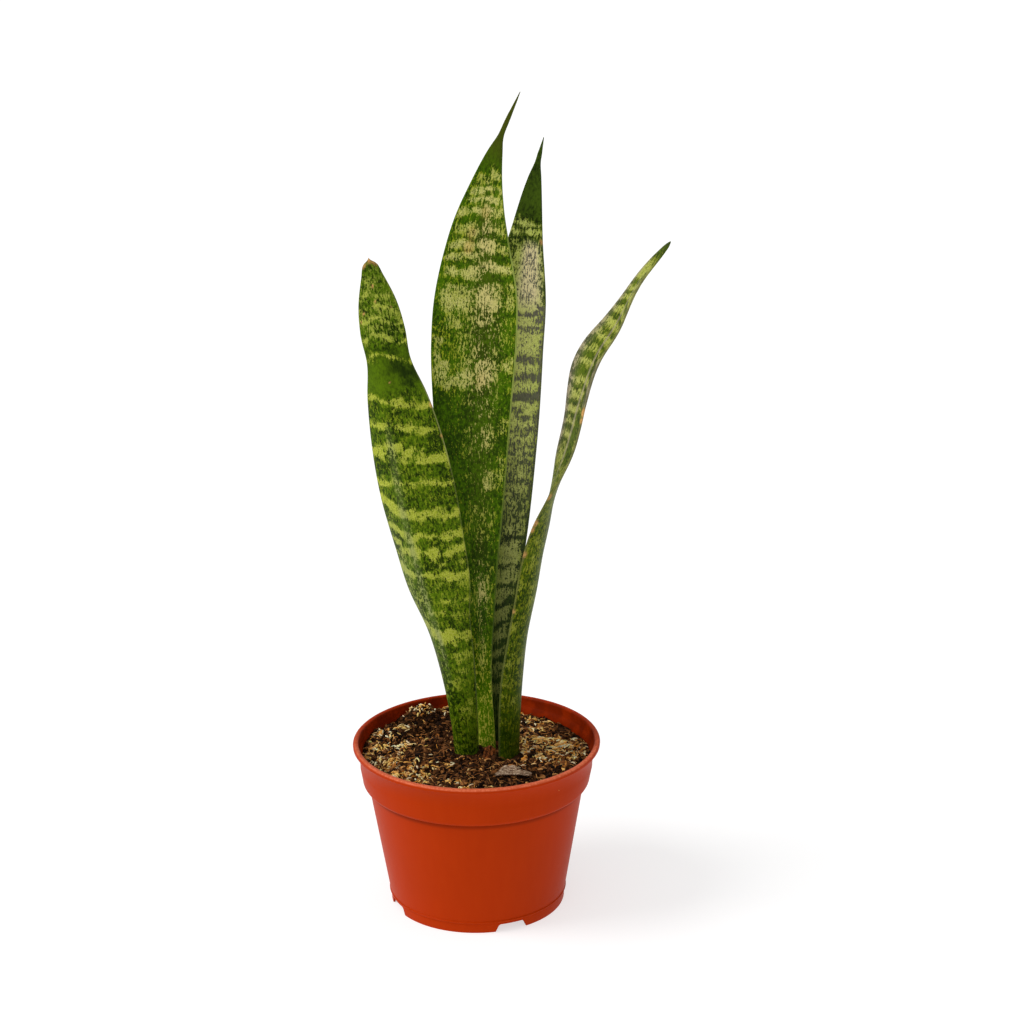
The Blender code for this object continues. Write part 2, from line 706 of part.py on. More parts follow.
def soil_outline():
    """The inside of the pot, less the clearance, closed by a flat top."""
    side = wall_outline(WALL + GAP, FLARE_TOP, flare_points=3, roll_points=2)[:-1]
    side = [(radius, height) for radius, height in side if height < SOIL_EDGE - 1]
    side.append((WALL_FOOT_RADIUS - WALL - GAP, FLOOR_TOP + GAP))
    rim = edge_radius(SOIL_EDGE)
    top = [(rim * i / SOIL_RINGS, SOIL_EDGE) for i in range(SOIL_RINGS + 1)]
    return top + side + [(0, FLOOR_TOP + GAP)]


def heap_up(soil):
    """Lifts the flat top to the heaps, and keeps its edge along the wall."""
    rim = edge_radius(SOIL_EDGE)
    for vertex in soil.data.vertices:
        x, y, z = (c / MM for c in vertex.co)
        if z < SOIL_EDGE - 0.01:
            continue
        height = soil_height(x, y)
        spread = edge_radius(height) / rim if math.hypot(x, y) > rim - 0.01 else 1.0
        vertex.co = (x * spread * MM, y * spread * MM, height * MM)


def chip(index, x, y, draw, chips):
    """A flat crumb of bark, or a rounder grain of perlite, half sunk in the soil."""
    is_perlite = draw.random() < PERLITE_SHARE
    length = draw.uniform(*(PERLITE_LENGTHS if is_perlite else CHIP_LENGTHS))
    size = (length, length * draw.uniform(0.45, 0.8), draw.uniform(*CHIP_HEIGHTS))
    shape = bmesh.new()
    bmesh.ops.create_icosphere(shape, subdivisions=1, radius=1.0)
    for vertex in shape.verts:
        vertex.co *= draw.uniform(*CHIP_RAGGEDNESS)
    bmesh.ops.scale(shape, vec=size, verts=shape.verts)
    kind = "perlite" if is_perlite else "bark"
    crumb = add_object(f"chip_{index}", mesh_from_bmesh("chip", shape), chips, kind)
    crumb.location = (x * MM, y * MM, (soil_height(x, y) + CHIP_LIFT) * MM)
    tilts = (draw.uniform(-CHIP_TILT, CHIP_TILT), draw.uniform(-CHIP_TILT, CHIP_TILT))
    crumb.rotation_euler = (*tilts, draw.uniform(0, math.pi))


def has_room(x, y):
    """True where a chip stays clear of the leaves, the scale and the flake."""
    taken = [(leaf["spine"][1][1:], LEAF_BERTH) for leaf in LEAVES.values()]
    taken += [(SCALE_PLACE, SCALE_BERTH), (FLAKE_PLACE[:2], FLAKE_BERTH)]
    return all(math.hypot(x - a, y - b) > berth for (a, b), berth in taken)


def chip_places(draw):
    """Places spread evenly over the soil by the golden angle, each moved a little."""
    widest = SHOULDER_RADIUS - CHIP_MARGIN
    turn = math.pi * (3 - math.sqrt(5))
    for i in range(CHIP_COUNT):
        radius = widest * math.sqrt((i + 0.5) / CHIP_COUNT)
        x = radius * math.cos(i * turn) + draw.uniform(-1, 1)
        y = radius * math.sin(i * turn) + draw.uniform(-1, 1)
        if has_room(x, y):
            yield i, x, y


def build_soil(parts):
    soil = turned("soil", soil_outline(), POT_STEPS, parts, "peat")
    freeze(soil)
    heap_up(soil)
    chips = new_collection("chips", helper=True)
    draw = random.Random(CHIP_SEED)
    for index, x, y in chip_places(draw):
        chip(index, x, y, draw, chips)
    boolean(soil, "UNION", chips).material_mode = "TRANSFER"
    freeze(soil)
    remove_collection(chips)
    cutters = new_collection("soil_cutters", helper=True)
    for name in LEAVES:
        leaf_hole_cutter(name, cutters)
    build_rhizome("rhizome_hollow", GAP, cutters)
    crown_scale("scale_slot", GAP, cutters)
    bark_flake("flake_seat", GAP, cutters)
    boolean(soil, "DIFFERENCE", cutters)
    freeze(soil)


def main():
    clear_scene()
    parts = new_collection("potted_snake_plant")
    build_pot(parts)
    build_soil(parts)
    build_rhizome("rhizome", 0.0, parts, "rhizome")
    for name in LEAVES:
        build_leaf(name, parts)
    crown_scale("crown_scale", 0.0, parts, "dry_scale")
    bark_flake("bark_flake", 0.0, parts, "grey_bark")
    middle = bpy.data.objects.new("plant_middle", None)
    parts.objects.link(middle)
    middle.location.x = -MIDDLE_X * MM
    for obj in bpy.data.objects:
        if obj is not middle:
            obj.parent = middle


main()
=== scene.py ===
"""Looks of the potted snake plant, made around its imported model.

Sizes are in millimetres, measured from the pot's axis and the ground, and are turned into metres
where a mesh is made. The front of the plant faces -Y.
"""

import json
import math

import bmesh
import bpy
import numpy as np
from mathutils import Matrix, Vector, noise

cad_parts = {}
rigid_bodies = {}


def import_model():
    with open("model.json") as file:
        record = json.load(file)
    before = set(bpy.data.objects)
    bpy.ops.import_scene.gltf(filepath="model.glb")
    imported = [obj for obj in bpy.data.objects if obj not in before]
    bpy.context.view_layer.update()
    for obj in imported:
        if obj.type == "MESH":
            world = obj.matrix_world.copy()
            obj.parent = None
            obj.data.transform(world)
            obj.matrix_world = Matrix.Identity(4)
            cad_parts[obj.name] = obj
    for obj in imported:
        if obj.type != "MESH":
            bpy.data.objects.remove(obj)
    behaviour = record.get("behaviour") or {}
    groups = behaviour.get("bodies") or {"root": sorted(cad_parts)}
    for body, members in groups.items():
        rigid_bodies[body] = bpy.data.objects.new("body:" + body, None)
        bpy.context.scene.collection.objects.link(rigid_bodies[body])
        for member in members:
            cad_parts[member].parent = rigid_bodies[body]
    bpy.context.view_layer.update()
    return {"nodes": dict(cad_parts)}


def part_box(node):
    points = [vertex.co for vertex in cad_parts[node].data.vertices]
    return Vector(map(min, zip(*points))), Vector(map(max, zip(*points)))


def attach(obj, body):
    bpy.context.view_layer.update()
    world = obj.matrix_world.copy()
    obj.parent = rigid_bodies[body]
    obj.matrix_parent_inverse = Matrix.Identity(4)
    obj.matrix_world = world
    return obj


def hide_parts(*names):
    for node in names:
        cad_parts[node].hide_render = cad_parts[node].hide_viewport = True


MM = 0.001
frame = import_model()
POT_LOW, POT_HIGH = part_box("pot")
AXIS = Vector(((POT_LOW.x + POT_HIGH.x) / 2, (POT_LOW.y + POT_HIGH.y) / 2, 0.0))

# Pot
LIP_RADIUS = 53.7
LIP_TOP = 74.6
LIP_WIDTH = 2.6
LIP_ROUND_INSIDE = 0.75
LIP_ROUND_OUTSIDE = 0.95
BAND_TOP_RADIUS = 50.3
BAND_TOP = 63.0
FLARE_TOP = 72.6
FLARE_TOP_INSIDE = 70.6
FLARE_RADIUS = 18.2
SHOULDER_RADIUS = 49.2
SHOULDER_HEIGHT = 57.4
SHOULDER_ROLL = 2.2
WALL_TOP_RADIUS = 46.4
WALL_TOP = 54.1
WALL_FOOT_RADIUS = 38.4
RIDGE_HEIGHT = 5.2
RIDGE_ROUND = 0.42
FOOT_RADIUS = 37.8
WALL = 1.0
FLOOR_TOP = 7.2
FLOOR_UNDER = 6.0
POT_STEPS = 192
NOTCH_WIDTH = 14.4
NOTCH_NARROWING = 3.4
NOTCH_HEIGHT = 3.5
NOTCH_ROUNDING = 0.9
NOTCH_REACH = 5  # how far its cutter passes the skirt on either side
NOTCH_ANGLES = (-68, 22, 112, 202)  # degrees, from the front towards +X
DRAIN_RADIUS = 4.0
DRAIN_CIRCLE = 25.0
DRAIN_HOLES = 6
DRAIN_CUT = 6.0  # the length of its cutter
SHARP_ANGLE = 38  # degrees: an edge of the pot that turns more isn't smoothed

# The rim of the soft pot as it stands: low at the back and drawn in on the left, by twice these
RIM_DROP = 0.7
RIM_DRAW = 0.37
RIM_FROM = 54.0  # the height at which this begins

# Soil
SOIL_EDGE = 66.0
SOIL_EDGE_HIGHEST = 70.0
SOIL_GAP = 0.1  # between the soil and the wall
SOIL_RINGS = 90
SOIL_STEPS = 280
BITS_REACH = 49.6  # how far from the axis loose bits lie, and how far they may stick out
BITS_EDGE = 50.2
SHREDS_REACH = 47.5
HEAPS = (  # x, y, height, spread
    (3, -2, 4.0, 22), (-26, 38, 9.0, 8.5), (-10, 42, 4.5, 9), (-45, 18, 4.6, 16),
    (15.5, -22.3, 5.0, 4.6), (-17, 6, 2.4, 9), (-30, -16, 1.6, 12), (30, 8, 2.0, 11),
    (24, 33, 1.6, 10), (28, -12, 1.8, 10), (4, -27, 1.6, 11), (-24, 21, -2.2, 5),
    (-8, 18, -1.6, 7),
)
WAVES = (  # height, wavelength across, wavelength back, start
    (0.35, 14, 23, 0.8), (0.35, -12, 17, 2.1), (0.3, 31, -22, 2.0), (0.2, 8, -36, 0.3),
)
EDGE_CALM = 6.0  # the waves die out over this distance from the wall
GOLDEN = (  # x, y, spread: where pale chips and fibres lie thick
    (-42, 2, 11), (-36, -14, 10), (-27, -24, 8), (-26, 38, 5), (-10, 42, 4), (28, 8, 10),
    (38, 2, 11), (29, -11, 8), (46, 8, 9), (20, 34, 9), (-8, -32, 6),
)

# Leaves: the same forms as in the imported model, given by height
LEAF_FOOT = 46.0
LEAF_COLUMNS = 32
LEAF_STEP = 0.66  # height between two rows
LAST_ROWS = (0.45, 0.3, 0.18, 0.08, 0.0)  # below the tip, where the rows lie closer
BLADE_EDGE = 0.7
BLADE_FULLNESS = 0.7  # below 1 the blade keeps its thickness further towards its margins
MARGIN_BULGE = 0.28
SIDES_APART = 60  # how far apart the two sides of a blade read the noise, so that they differ
LEAVES = {
    "leaf_left": {
        "spine": (
            (46, -4, -4), (70, -4.2, -4), (112, -8.5, -7), (146, -15.8, -9.5), (182, -23, -12.5),
            (229, -30.3, -15.5), (254, -34.1, -17.5), (276, -37.3, -17.5), (293, -40, -18),
        ),
        "width": (
            (46, 4.7), (70, 5), (112, 7.5), (128, 9), (148, 13.2), (165, 14.4), (190, 15.6),
            (215, 14.3), (233, 11.9), (249, 8.7), (262, 8.9), (274, 7.5), (285, 4.3), (291, 2.2),
            (293, 0.8),
        ),
        "turn": ((46, -10), (126, -18), (190, -18), (293, 0)),
        "cup": ((46, -0.5), (95, -1.8), (146, -5), (182, -6), (229, -4.2), (250, -2), (293, 0)),
        "thick": ((46, 5.5), (112, 5), (200, 3.2), (293, 1.4)),
        "keel": -0.35,
        "softness": 0.3,
    },
    "leaf_tall": {
        "spine": (
            (46, 5.1, 2), (70, 4.9, 2), (119, 2.8, 3.2), (182, 0.7, 4.6), (226, 0.8, 5),
            (267, 2.7, 5), (308, 6, 4.8), (334, 12.7, 4.4), (355, 21.8, 4),
        ),
        "width": (
            (46, 3.4), (70, 3.4), (100, 3.4), (137, 6.9), (182, 12.5), (226, 16.2), (250, 17.4),
            (270, 16.8), (295, 12.1), (319, 5.8), (331, 2.7), (337, 1), (343, 0.7), (355, 0.4),
        ),
        "turn": ((46, 0), (355, 0)),
        "cup": (
            (46, 0.5), (100, 0.8), (137, 2.2), (190, 3.2), (250, 2.8), (320, 0.8), (337, 0),
            (355, 0),
        ),
        "thick": ((46, 6), (119, 5), (220, 3), (355, 0.8)),
        "keel": 0.0,
        "softness": 0.9,
    },
    "leaf_rear": {
        "spine": (
            (46, 9.1, 10), (70, 9.1, 10.2), (104, 9, 12.6), (150, 12.8, 17), (203, 16.3, 21.1),
            (254, 19.2, 24.1), (291, 24.1, 24.8), (321, 29.1, 24.4), (332, 31.7, 24),
        ),
        "width": (
            (46, 3), (70, 3), (104, 3.9), (128, 5.8), (150, 8.3), (203, 11.4), (240, 12.3),
            (262, 11.8), (291, 6.7), (316, 2.3), (322, 0.9), (326, 0.65), (332, 0.4),
        ),
        "turn": ((46, 0), (332, 0)),
        "cup": ((46, 0.5), (104, 1.8), (150, 3), (203, 3.2), (276, 2.4), (321, 0.2), (332, 0)),
        "thick": ((46, 5), (110, 4.2), (200, 2.6), (332, 0.8)),
        "keel": 0.0,
        "softness": 0.9,
    },
    "leaf_right": {
        "spine": (
            (46, 14.6, -7), (74, 14.6, -7), (106, 16.6, -8.8), (124, 19.2, -9.4),
            (144, 23.1, -9.8), (158, 25.5, -10), (190, 33.9, -10), (210, 40.2, -9.5),
            (231, 45.7, -9), (250, 52.8, -8.6), (260, 59.2, -8.5), (281, 70.8, -8.2),
            (295.5, 81.9, -8),
        ),
        "width": (
            (46, 5), (74, 5.2), (95, 6.2), (112, 7.4), (128, 7.7), (158, 8.2), (190, 9.4),
            (221, 9.8), (250, 8.9), (262, 7.6), (272, 5.6), (287, 2.7), (295.5, 0.6),
        ),
        "turn": (
            (46, -150), (87, -144), (119, -127), (158, -126), (175, -118), (190, -98), (205, -80),
            (221, -75), (260, -74), (281, -82), (295.5, -60),
        ),
        "cup": (
            (46, 0.3), (106, 1.2), (158, 1.5), (200, 0.9), (221, 1), (241, 3.2), (260, 1.8),
            (281, 0.9), (295.5, 0),
        ),
        "thick": ((46, 6), (110, 4.4), (200, 2.6), (295.5, 1.3)),
        "keel": 0.2,
        "softness": 0.5,
    },
}
TIPS = {  # below the tip by so many millimetres, the share of its full size that the tip has
    "leaf_left": ((0, 0.1), (0.5, 0.22), (1.0, 0.34), (1.4, 0.62), (2.2, 0.92), (3.2, 1)),
    "leaf_tall": ((0, 0.2), (4, 0.62), (10, 1)),
    "leaf_rear": ((0, 0.2), (3, 0.62), (7, 1)),
    "leaf_right": ((0, 0.15), (0.5, 0.6), (1.4, 0.9), (2.4, 1)),
}

# Markings of each leaf. A place across the blade runs from -1 at its left margin to 1.
# ground: height, how pale the leaf is between its bands; below zero is dark.
# mottle: height, how strongly the bands break up into flecks.
# bands and dark: height at the left margin, at the keel and at the right margin, half thickness.
# patches: height, from and to across, half thickness, how pale. dark_patches have no last number.
# spots, dry and rusty: height, place across, radius, strength.
# rim: height, how pale the right margin is.
# shade: height, how much painted shade darkens the leaf towards the soil; below zero it is
# fresher, and golden where it is pale.
MARKS = {
    "leaf_left": {
        "ground": (
            (74, -0.9), (92, -1.3), (120, -1.5), (133, -0.9), (150, -0.5), (162, -1.0),
            (175, -1.3), (189, -1.1), (196, -0.7), (205, -1.2), (216, -1.3), (226, -1.0),
            (236, -1.8), (239, -4.5), (253, -5), (257, -1.8), (262, -0.5), (284, -0.5),
            (289, -1.8), (293, -4),
        ),
        "mottle": (
            (74, 13), (120, 12), (133, 11), (230, 11), (240, 3), (253, 3), (257, 12), (293, 12),
        ),
        "bands": (
            (251, 253.5, 248.5, 0.6), (258, 261.5, 256, 0.8), (266, 268.5, 264, 1.0),
            (272, 274.5, 270, 0.8), (278, 280, 276.5, 0.7), (283, 284.5, 282, 0.4),
            (235, 233, 226.5, 1.5), (222, 223, 215.5, 1.3), (209.5, 211, 203, 2.4),
            (196, 197, 192.5, 0.9), (188.5, 183, 177.5, 2.3), (177.5, 172, 168.5, 1.9),
            (170.5, 165, 161, 2.2), (164, 159.5, 155.5, 0.5), (158, 154, 150, 2.0),
            (146, 142.5, 138.5, 0.4), (139.5, 137, 133, 0.3), (132.5, 126, 123.5, 3.2),
        ),
        "patches": (
            (115.5, 0, 1, 1.8, 0.2), (109.5, 0.2, 0.9, 1.3, 0.0), (103, -0.4, 0.3, 2.2, -0.3),
            (88.5, -0.3, 0.6, 2.6, 0.0), (94, 0.3, 0.8, 1.8, -0.2),
        ),
        "dark_patches": ((200, -1, -0.5, 2.0), (199, 0.5, 1, 3.5)),
        "spots": (
            (281.5, -0.1, 0.42, 1), (275, -0.1, 0.4, 0.8), (270.5, -0.75, 0.45, 0.9),
            (272, 0.65, 0.3, 0.7), (267, -0.9, 0.4, 0.7), (240.5, -0.1, 0.3, 1),
            (227, 1, 0.8, 0.9), (213, 1, 0.6, 0.7), (293, 0, 1.6, 0.9), (290.5, 0.8, 0.9, 0.7),
            (290, -0.9, 0.8, 0.6),
        ),
        "rim": ((46, 0.1), (195, 0.2), (205, 0.7), (232, 0.7), (240, 0.1), (293, 0.1)),
        "shade": ((66, 0.45), (74, 0.24), (90, 0.12), (112, 0.06), (130, 0)),
    },
    "leaf_tall": {
        "ground": (
            (71, -0.5), (96.5, -1.0), (119.5, -1.4), (150, -1.7), (200, -2.1), (226, -2.4),
            (232, -1.8), (246, -1.5), (260, -1.3), (264, -2.2), (319, -2.3), (324, -3.2),
            (330, -6),
        ),
        "mottle": (
            (71, 12), (110, 12), (130, 11), (226, 11), (236, 14), (262, 14), (272, 10), (319, 10),
            (330, 3),
        ),
        "patches": (
            (319.5, -0.75, 0.05, 1.4, 0.1), (322, 0.2, 0.95, 1.2, 0),
            (314.5, -0.88, 0.05, 1.3, 0.8), (311, -0.88, 0, 1.0, 0.6),
            (315.5, 0.05, 0.95, 1.0, 0.5), (311.5, 0, 0.95, 1.1, 0.5),
            (305.5, -0.88, 0.0, 1.8, 0.7), (306.5, 0.15, 1, 1.7, 0.6),
            (298, -0.88, -0.1, 2.4, 0.0), (300, 0.2, 0.95, 2.6, 0.0), (291.5, -0.88, 0, 1.4, 0.8),
            (287, -0.88, 0, 1.2, 0.7), (292, 0.14, 0.62, 2.4, 0.6), (291, 0.76, 0.95, 2, 0.3),
            (280.5, -0.88, -0.05, 1.9, 1), (283, 0.1, 1, 1.9, 0.9), (281, -0.05, 0.1, 1.2, 0.2),
            (270, -0.86, -0.15, 6, 0.6), (262, -0.7, -0.35, 6, 0.0), (269.5, 0.05, 0.62, 5.2, 0.5),
            (264, 0.1, 0.4, 5, -0.2), (266, -0.25, 0.12, 5.5, -0.5), (270, 0.76, 0.94, 4.5, -0.1),
            (246, -0.96, -0.8, 7, 0.3), (238, -0.93, -0.62, 5, 0.5), (234, -0.7, -0.35, 3, 0.4),
            (248, -0.45, -0.05, 8, -0.6), (235.5, -0.45, -0.05, 4.4, 0.8),
            (238, 0.1, 0.6, 4.4, 0.3), (234.5, 0.1, 0.3, 3, 0.6), (241, 0.78, 0.94, 3, 0),
            (210, 0.35, 0.62, 3.4, 0), (215, 0.8, 0.92, 3.4, 0), (207.5, -0.4, 0.1, 3, -1.3),
            (191, 0.38, 0.66, 3.2, 0), (195, 0.8, 0.94, 6.2, -0.3), (174, 0.4, 0.7, 3.5, -0.3),
            (171, -0.3, 0.5, 6, -1.1), (230, -0.6, 0.1, 6, -1.6), (228, 0.3, 0.6, 7, -1.6),
            (141, -0.4, 0.72, 6.5, -0.7), (141.5, 0.05, 0.62, 5, -0.1),
            (112.5, -0.4, 0.6, 6.2, -0.5),
        ),
        # The first two rows, near 0.7 across, are a dark line along the bend near the right
        # margin: painted shade
        "dark_patches": ((272, 0.69, 0.75, 9), (255, 0.7, 0.76, 6), (252, 0.12, 0.4, 5)),
        "spots": (
            (291, -0.3, 2.2, 0.35), (297, -0.28, 2.0, 0.25), (306, 0.2, 2, 0.2),
            (235, 0.2, 2.4, 0.12),
        ),
        "rim": (
            (46, 0), (130, 0.1), (200, 0.5), (232, 1), (285, 1), (300, 0.3), (330, 0), (355, 0),
        ),
        "shade": ((66, -0.2), (72, -0.75), (92, -0.55), (105, -0.25), (130, 0)),
    },
    "leaf_rear": {
        "ground": (
            (67, -1), (85.5, -0.6), (92.5, 0.4), (128.5, 0.8), (133, 0.9), (161.5, 0.8),
            (166, -0.1), (203, 0.2), (207.5, 0.8), (244, 1.1), (250.5, 1.2), (262, 1.2),
            (266, 0.4), (284, 0.7), (290.5, -1.5), (298.5, -5), (331, -6),
        ),
        "mottle": (
            (67, 9), (160, 9), (166, 12), (203, 12), (210, 11), (245, 12), (285, 12), (331, 3),
        ),
        "bands": ((296, 295.5, 295.5, 1.0), (291.5, 292, 292.5, 0.9)),
        "dark": (
            (293, 293.5, 294, 0.6), (259, 258, 257, 0.9), (252, 252, 251, 1.0),
            (239, 238.5, 238, 1.5), (231, 230, 230.5, 1.3), (223, 222, 222, 1.8),
            (207.5, 207, 207.5, 0.9), (200, 200, 201, 0.7), (193, 193.5, 194, 0.9),
            (186, 185.5, 186.5, 0.9), (178, 178, 178.5, 0.7), (169.5, 169.5, 170, 0.8),
            (160.5, 160.5, 161, 1.4), (147.5, 147.5, 148.5, 0.6), (138, 138, 138.5, 1.1),
            (128.5, 130.5, 134, 1.6), (118.5, 120.5, 124.5, 1.6), (111.5, 112.5, 114.5, 1.4),
            (104, 105, 107, 1.5), (96, 97, 98.5, 1.8),
        ),
        "dark_patches": (
            (284.5, -1, -0.45, 1.3), (280, -1, -0.5, 1.3), (275.5, -1, -0.55, 1.5),
            # The rows at 262, 218 and 160, along the right margin, are painted shade where the
            # blade curves away
            (289, -1, 0, 1.2), (216, -0.2, 0.5, 1.1), (213, 0.3, 0.8, 1.1), (262, 0.93, 1.1, 26),
            (218, 0.92, 1.1, 24), (160, 0.87, 1.1, 34), (285, 0.7, 1, 1), (277, 0.75, 1, 1.2),
            (269, 0.72, 1, 1.2), (261, 0.7, 1, 1.2), (255, 0.7, 1, 1.4),
        ),
        "spots": ((289, 0.95, 0.7, 0.7),),
        "rim": ((46, 0.3),),
        "shade": ((66, 0.88), (100, 0.74), (130, 0.58), (160, 0.36), (190, 0.08), (205, 0)),
    },
    "leaf_right": {
        "ground": (
            (77.5, -0.9), (96.5, -0.5), (189, -0.4), (209.5, 0.2), (216.5, 1.0), (285, 1.1),
            (289, -1.5), (295, -4),
        ),
        "mottle": ((77, 13), (200, 13), (216, 10), (295, 9)),
        "dark": (
            (278, 280, 281, 1.1), (273, 275, 276, 0.8), (268.5, 270, 268, 1.3),
            (262, 264, 263, 1.3), (256.5, 258.5, 258, 1.1), (251, 253.5, 252, 1.5),
            (245, 248, 245.5, 1.8), (239, 242, 239.5, 1.9), (233, 235.5, 233, 1.6),
            (226.5, 229.5, 228, 1.5), (221, 223.5, 222, 1.4), (215, 217.5, 216, 1.5),
            (209, 211, 209, 1.2),
            *((height, height, height, half) for height, half in (
                (172.5, 0.9), (168.5, 0.5), (164, 0.7), (158, 0.5), (152, 0.9), (146, 0.6),
                (141, 0.6), (134, 0.9), (127.5, 0.7), (120.5, 1.3), (111, 1.3), (101, 1.8),
                (90.5, 1.8), (79.5, 2.2),
            )),
        ),
        "dark_patches": (
            # The row at 212 darkens the half of the blade that lies in the fold: painted shade
            (232, 0.35, 1, 2.5), (222, 0.4, 1, 4), (212, 0.3, 1, 8), (243, 0.45, 1, 3),
            (252, 0.5, 1, 2),
        ),
        "spots": (
            (177.5, 1, 1.1, 1), (174.5, 1, 0.8, 0.9), (163.5, 1, 1.0, 0.9), (138, 1, 0.7, 0.8),
            (190, 1, 1.0, 0.7), (227, 1, 1.3, 1), (223.5, 1, 0.9, 0.9),
        ),
        "rim": ((46, 0.3), (200, 0.4), (216, 0.5), (280, 0.7), (290, 0)),
        "shade": ((66, 0.7), (84, 0.5), (110, 0.34), (140, 0.26), (190, 0.2), (212, 0)),
    },
}

BAND_MOST = 1.9  # how pale a band can be
BAND_ENDS = 0.9  # the places across where the heights of a band at the margins hold

# Small pieces
SCALE_PLACE = (5.8, -11.8)
SCALE_FOOT = 62.0
SCALE_HEIGHT = 12.2
SCALE_RADIUS = 3.0
SCALE_THICK = 0.8
SCALE_SPREAD = 70  # degrees, how far round it reaches to either side
SCALE_TORN = 0.9
SCALE_LEAN = 12  # degrees, back towards the leaves
SCALE_TURN = -8
SCALE_GRID = (44, 44)  # points up and across
FLAKE_PLACE = (15.8, -26.6, 70.9)
FLAKE_SIZE = (15.6, 5.4)
FLAKE_PEAK = -0.35
FLAKE_ENDS = 0.3
FLAKE_RAGGED = 0.3
FLAKE_THICK = 0.9
FLAKE_ARCH = 0.8
FLAKE_TILT = 25
FLAKE_TURN = -3
FLAKE_GRID = (28, 72)  # points across and along

# Camera: where it stands, and how it is aimed, in degrees
EYE = (-0.5, -1159.1, 588.6)
AIM_YAW = 0.85
AIM_DOWN = 19.52
AIM_ROLL = -0.6
LENS = 102.97

# Studio
FLOOR_HALF = 40.0  # metres, so that its edge is far outside the view
FLOOR_GREY = 0.5
FLOOR_GLOW = 0.62
SKY_STRENGTH = 0.48
SUNS = (  # name, place from which it shines, strength, how wide it is in degrees
    ("key", (-2.0, -0.35, 2.0), 1.6, 30),
    ("fill", (-0.8, -1.2, 0.7), 0.6, 90),
)


def srgb(red, green, blue):
    """A linear colour from one on the usual 0 to 255 scale."""
    parts = [value / 255 for value in (red, green, blue)]
    return tuple(p / 12.92 if p <= 0.04045 else ((p + 0.055) / 1.055) ** 2.4 for p in parts)


# ---- materials


class Paint:
    """A procedural material, made one node at a time."""

    def __init__(self, name):
        self.material = bpy.data.materials.new(name)
        self.material.use_nodes = True
        self.tree = self.material.node_tree
        self.shader = self.tree.nodes["Principled BSDF"]

    def add(self, kind, inputs=(), **settings):
        node = self.tree.nodes.new("ShaderNode" + kind)
        for key, value in settings.items():
            setattr(node, key, value)
        for key, value in dict(inputs).items():
            self.feed(node.inputs[key], value)
        return node

    def feed(self, socket, value):
        if isinstance(value, bpy.types.NodeSocket):
            self.tree.links.new(value, socket)
        elif socket.type == "RGBA":
            socket.default_value = (*value, 1.0)
        else:
            socket.default_value = value

    def set(self, **values):
        for key, value in values.items():
            self.feed(self.shader.inputs[key.replace("_", " ")], value)

    def sum(self, a, b):
        return self.add("Math", {0: a, 1: b}, operation="ADD").outputs[0]

    def times(self, a, b):
        return self.add("Math", {0: a, 1: b}, operation="MULTIPLY").outputs[0]

    def swing(self, cloud, size):
        """Noise moved to lie around zero, and made size times as strong."""
        return self.times(self.sum(cloud, -0.5), size)

    def step(self, value, low, high, to_low=0.0, to_high=1.0):
        """A smooth step from to_low at low up to to_high at high."""
        inputs = {"Value": value, "From Min": low, "From Max": high}
        inputs.update({"To Min": to_low, "To Max": to_high})
        return self.add("MapRange", inputs, interpolation_type="SMOOTHSTEP").outputs["Result"]

    def mix(self, share, a, b):
        return self.add("Mix", {0: share, 6: a, 7: b}, data_type="RGBA").outputs[2]

    def attribute(self, name, output="Vector"):
        return self.add("Attribute", attribute_name=name).outputs[output]

    def split(self, vector):
        return self.add("SeparateXYZ", {0: vector}).outputs

    def stretched(self, vector, scale):
        return self.add("VectorMath", {0: vector, 1: scale}, operation="MULTIPLY").outputs[0]

    def place(self):
        """The point on the object, in millimetres."""
        return self.stretched(self.add("TexCoord").outputs["Object"], (1 / MM,) * 3)

    def cloud(self, vector, scale, detail=2.0, rough=0.5, bend=0.0):
        """Noise around 0.5. The scale is one number, or one for each axis."""
        if isinstance(scale, tuple):
            vector, scale = self.stretched(vector, scale), 1.0
        inputs = {"Vector": vector, "Scale": scale, "Detail": detail}
        inputs.update({"Roughness": rough, "Distortion": bend})
        return self.add("TexNoise", inputs, noise_dimensions="3D").outputs[0]

    def relief(self, height, distance, strength=1.0, under=None):
        inputs = {"Height": height, "Distance": distance * MM, "Strength": strength}
        if under is not None:
            inputs["Normal"] = under
        return self.add("Bump", inputs).outputs[0]

    def coats(self, colour, *coats):
        """Lays coats, each of a share and a colour, over a colour."""
        for share, coat in coats:
            colour = self.mix(share, colour, coat)
        return colour

    def finish(self, colour, rough, bump, specular=0.08):
        self.set(Base_Color=colour, Roughness=rough, Normal=bump, Specular_IOR_Level=specular)
        return self.material


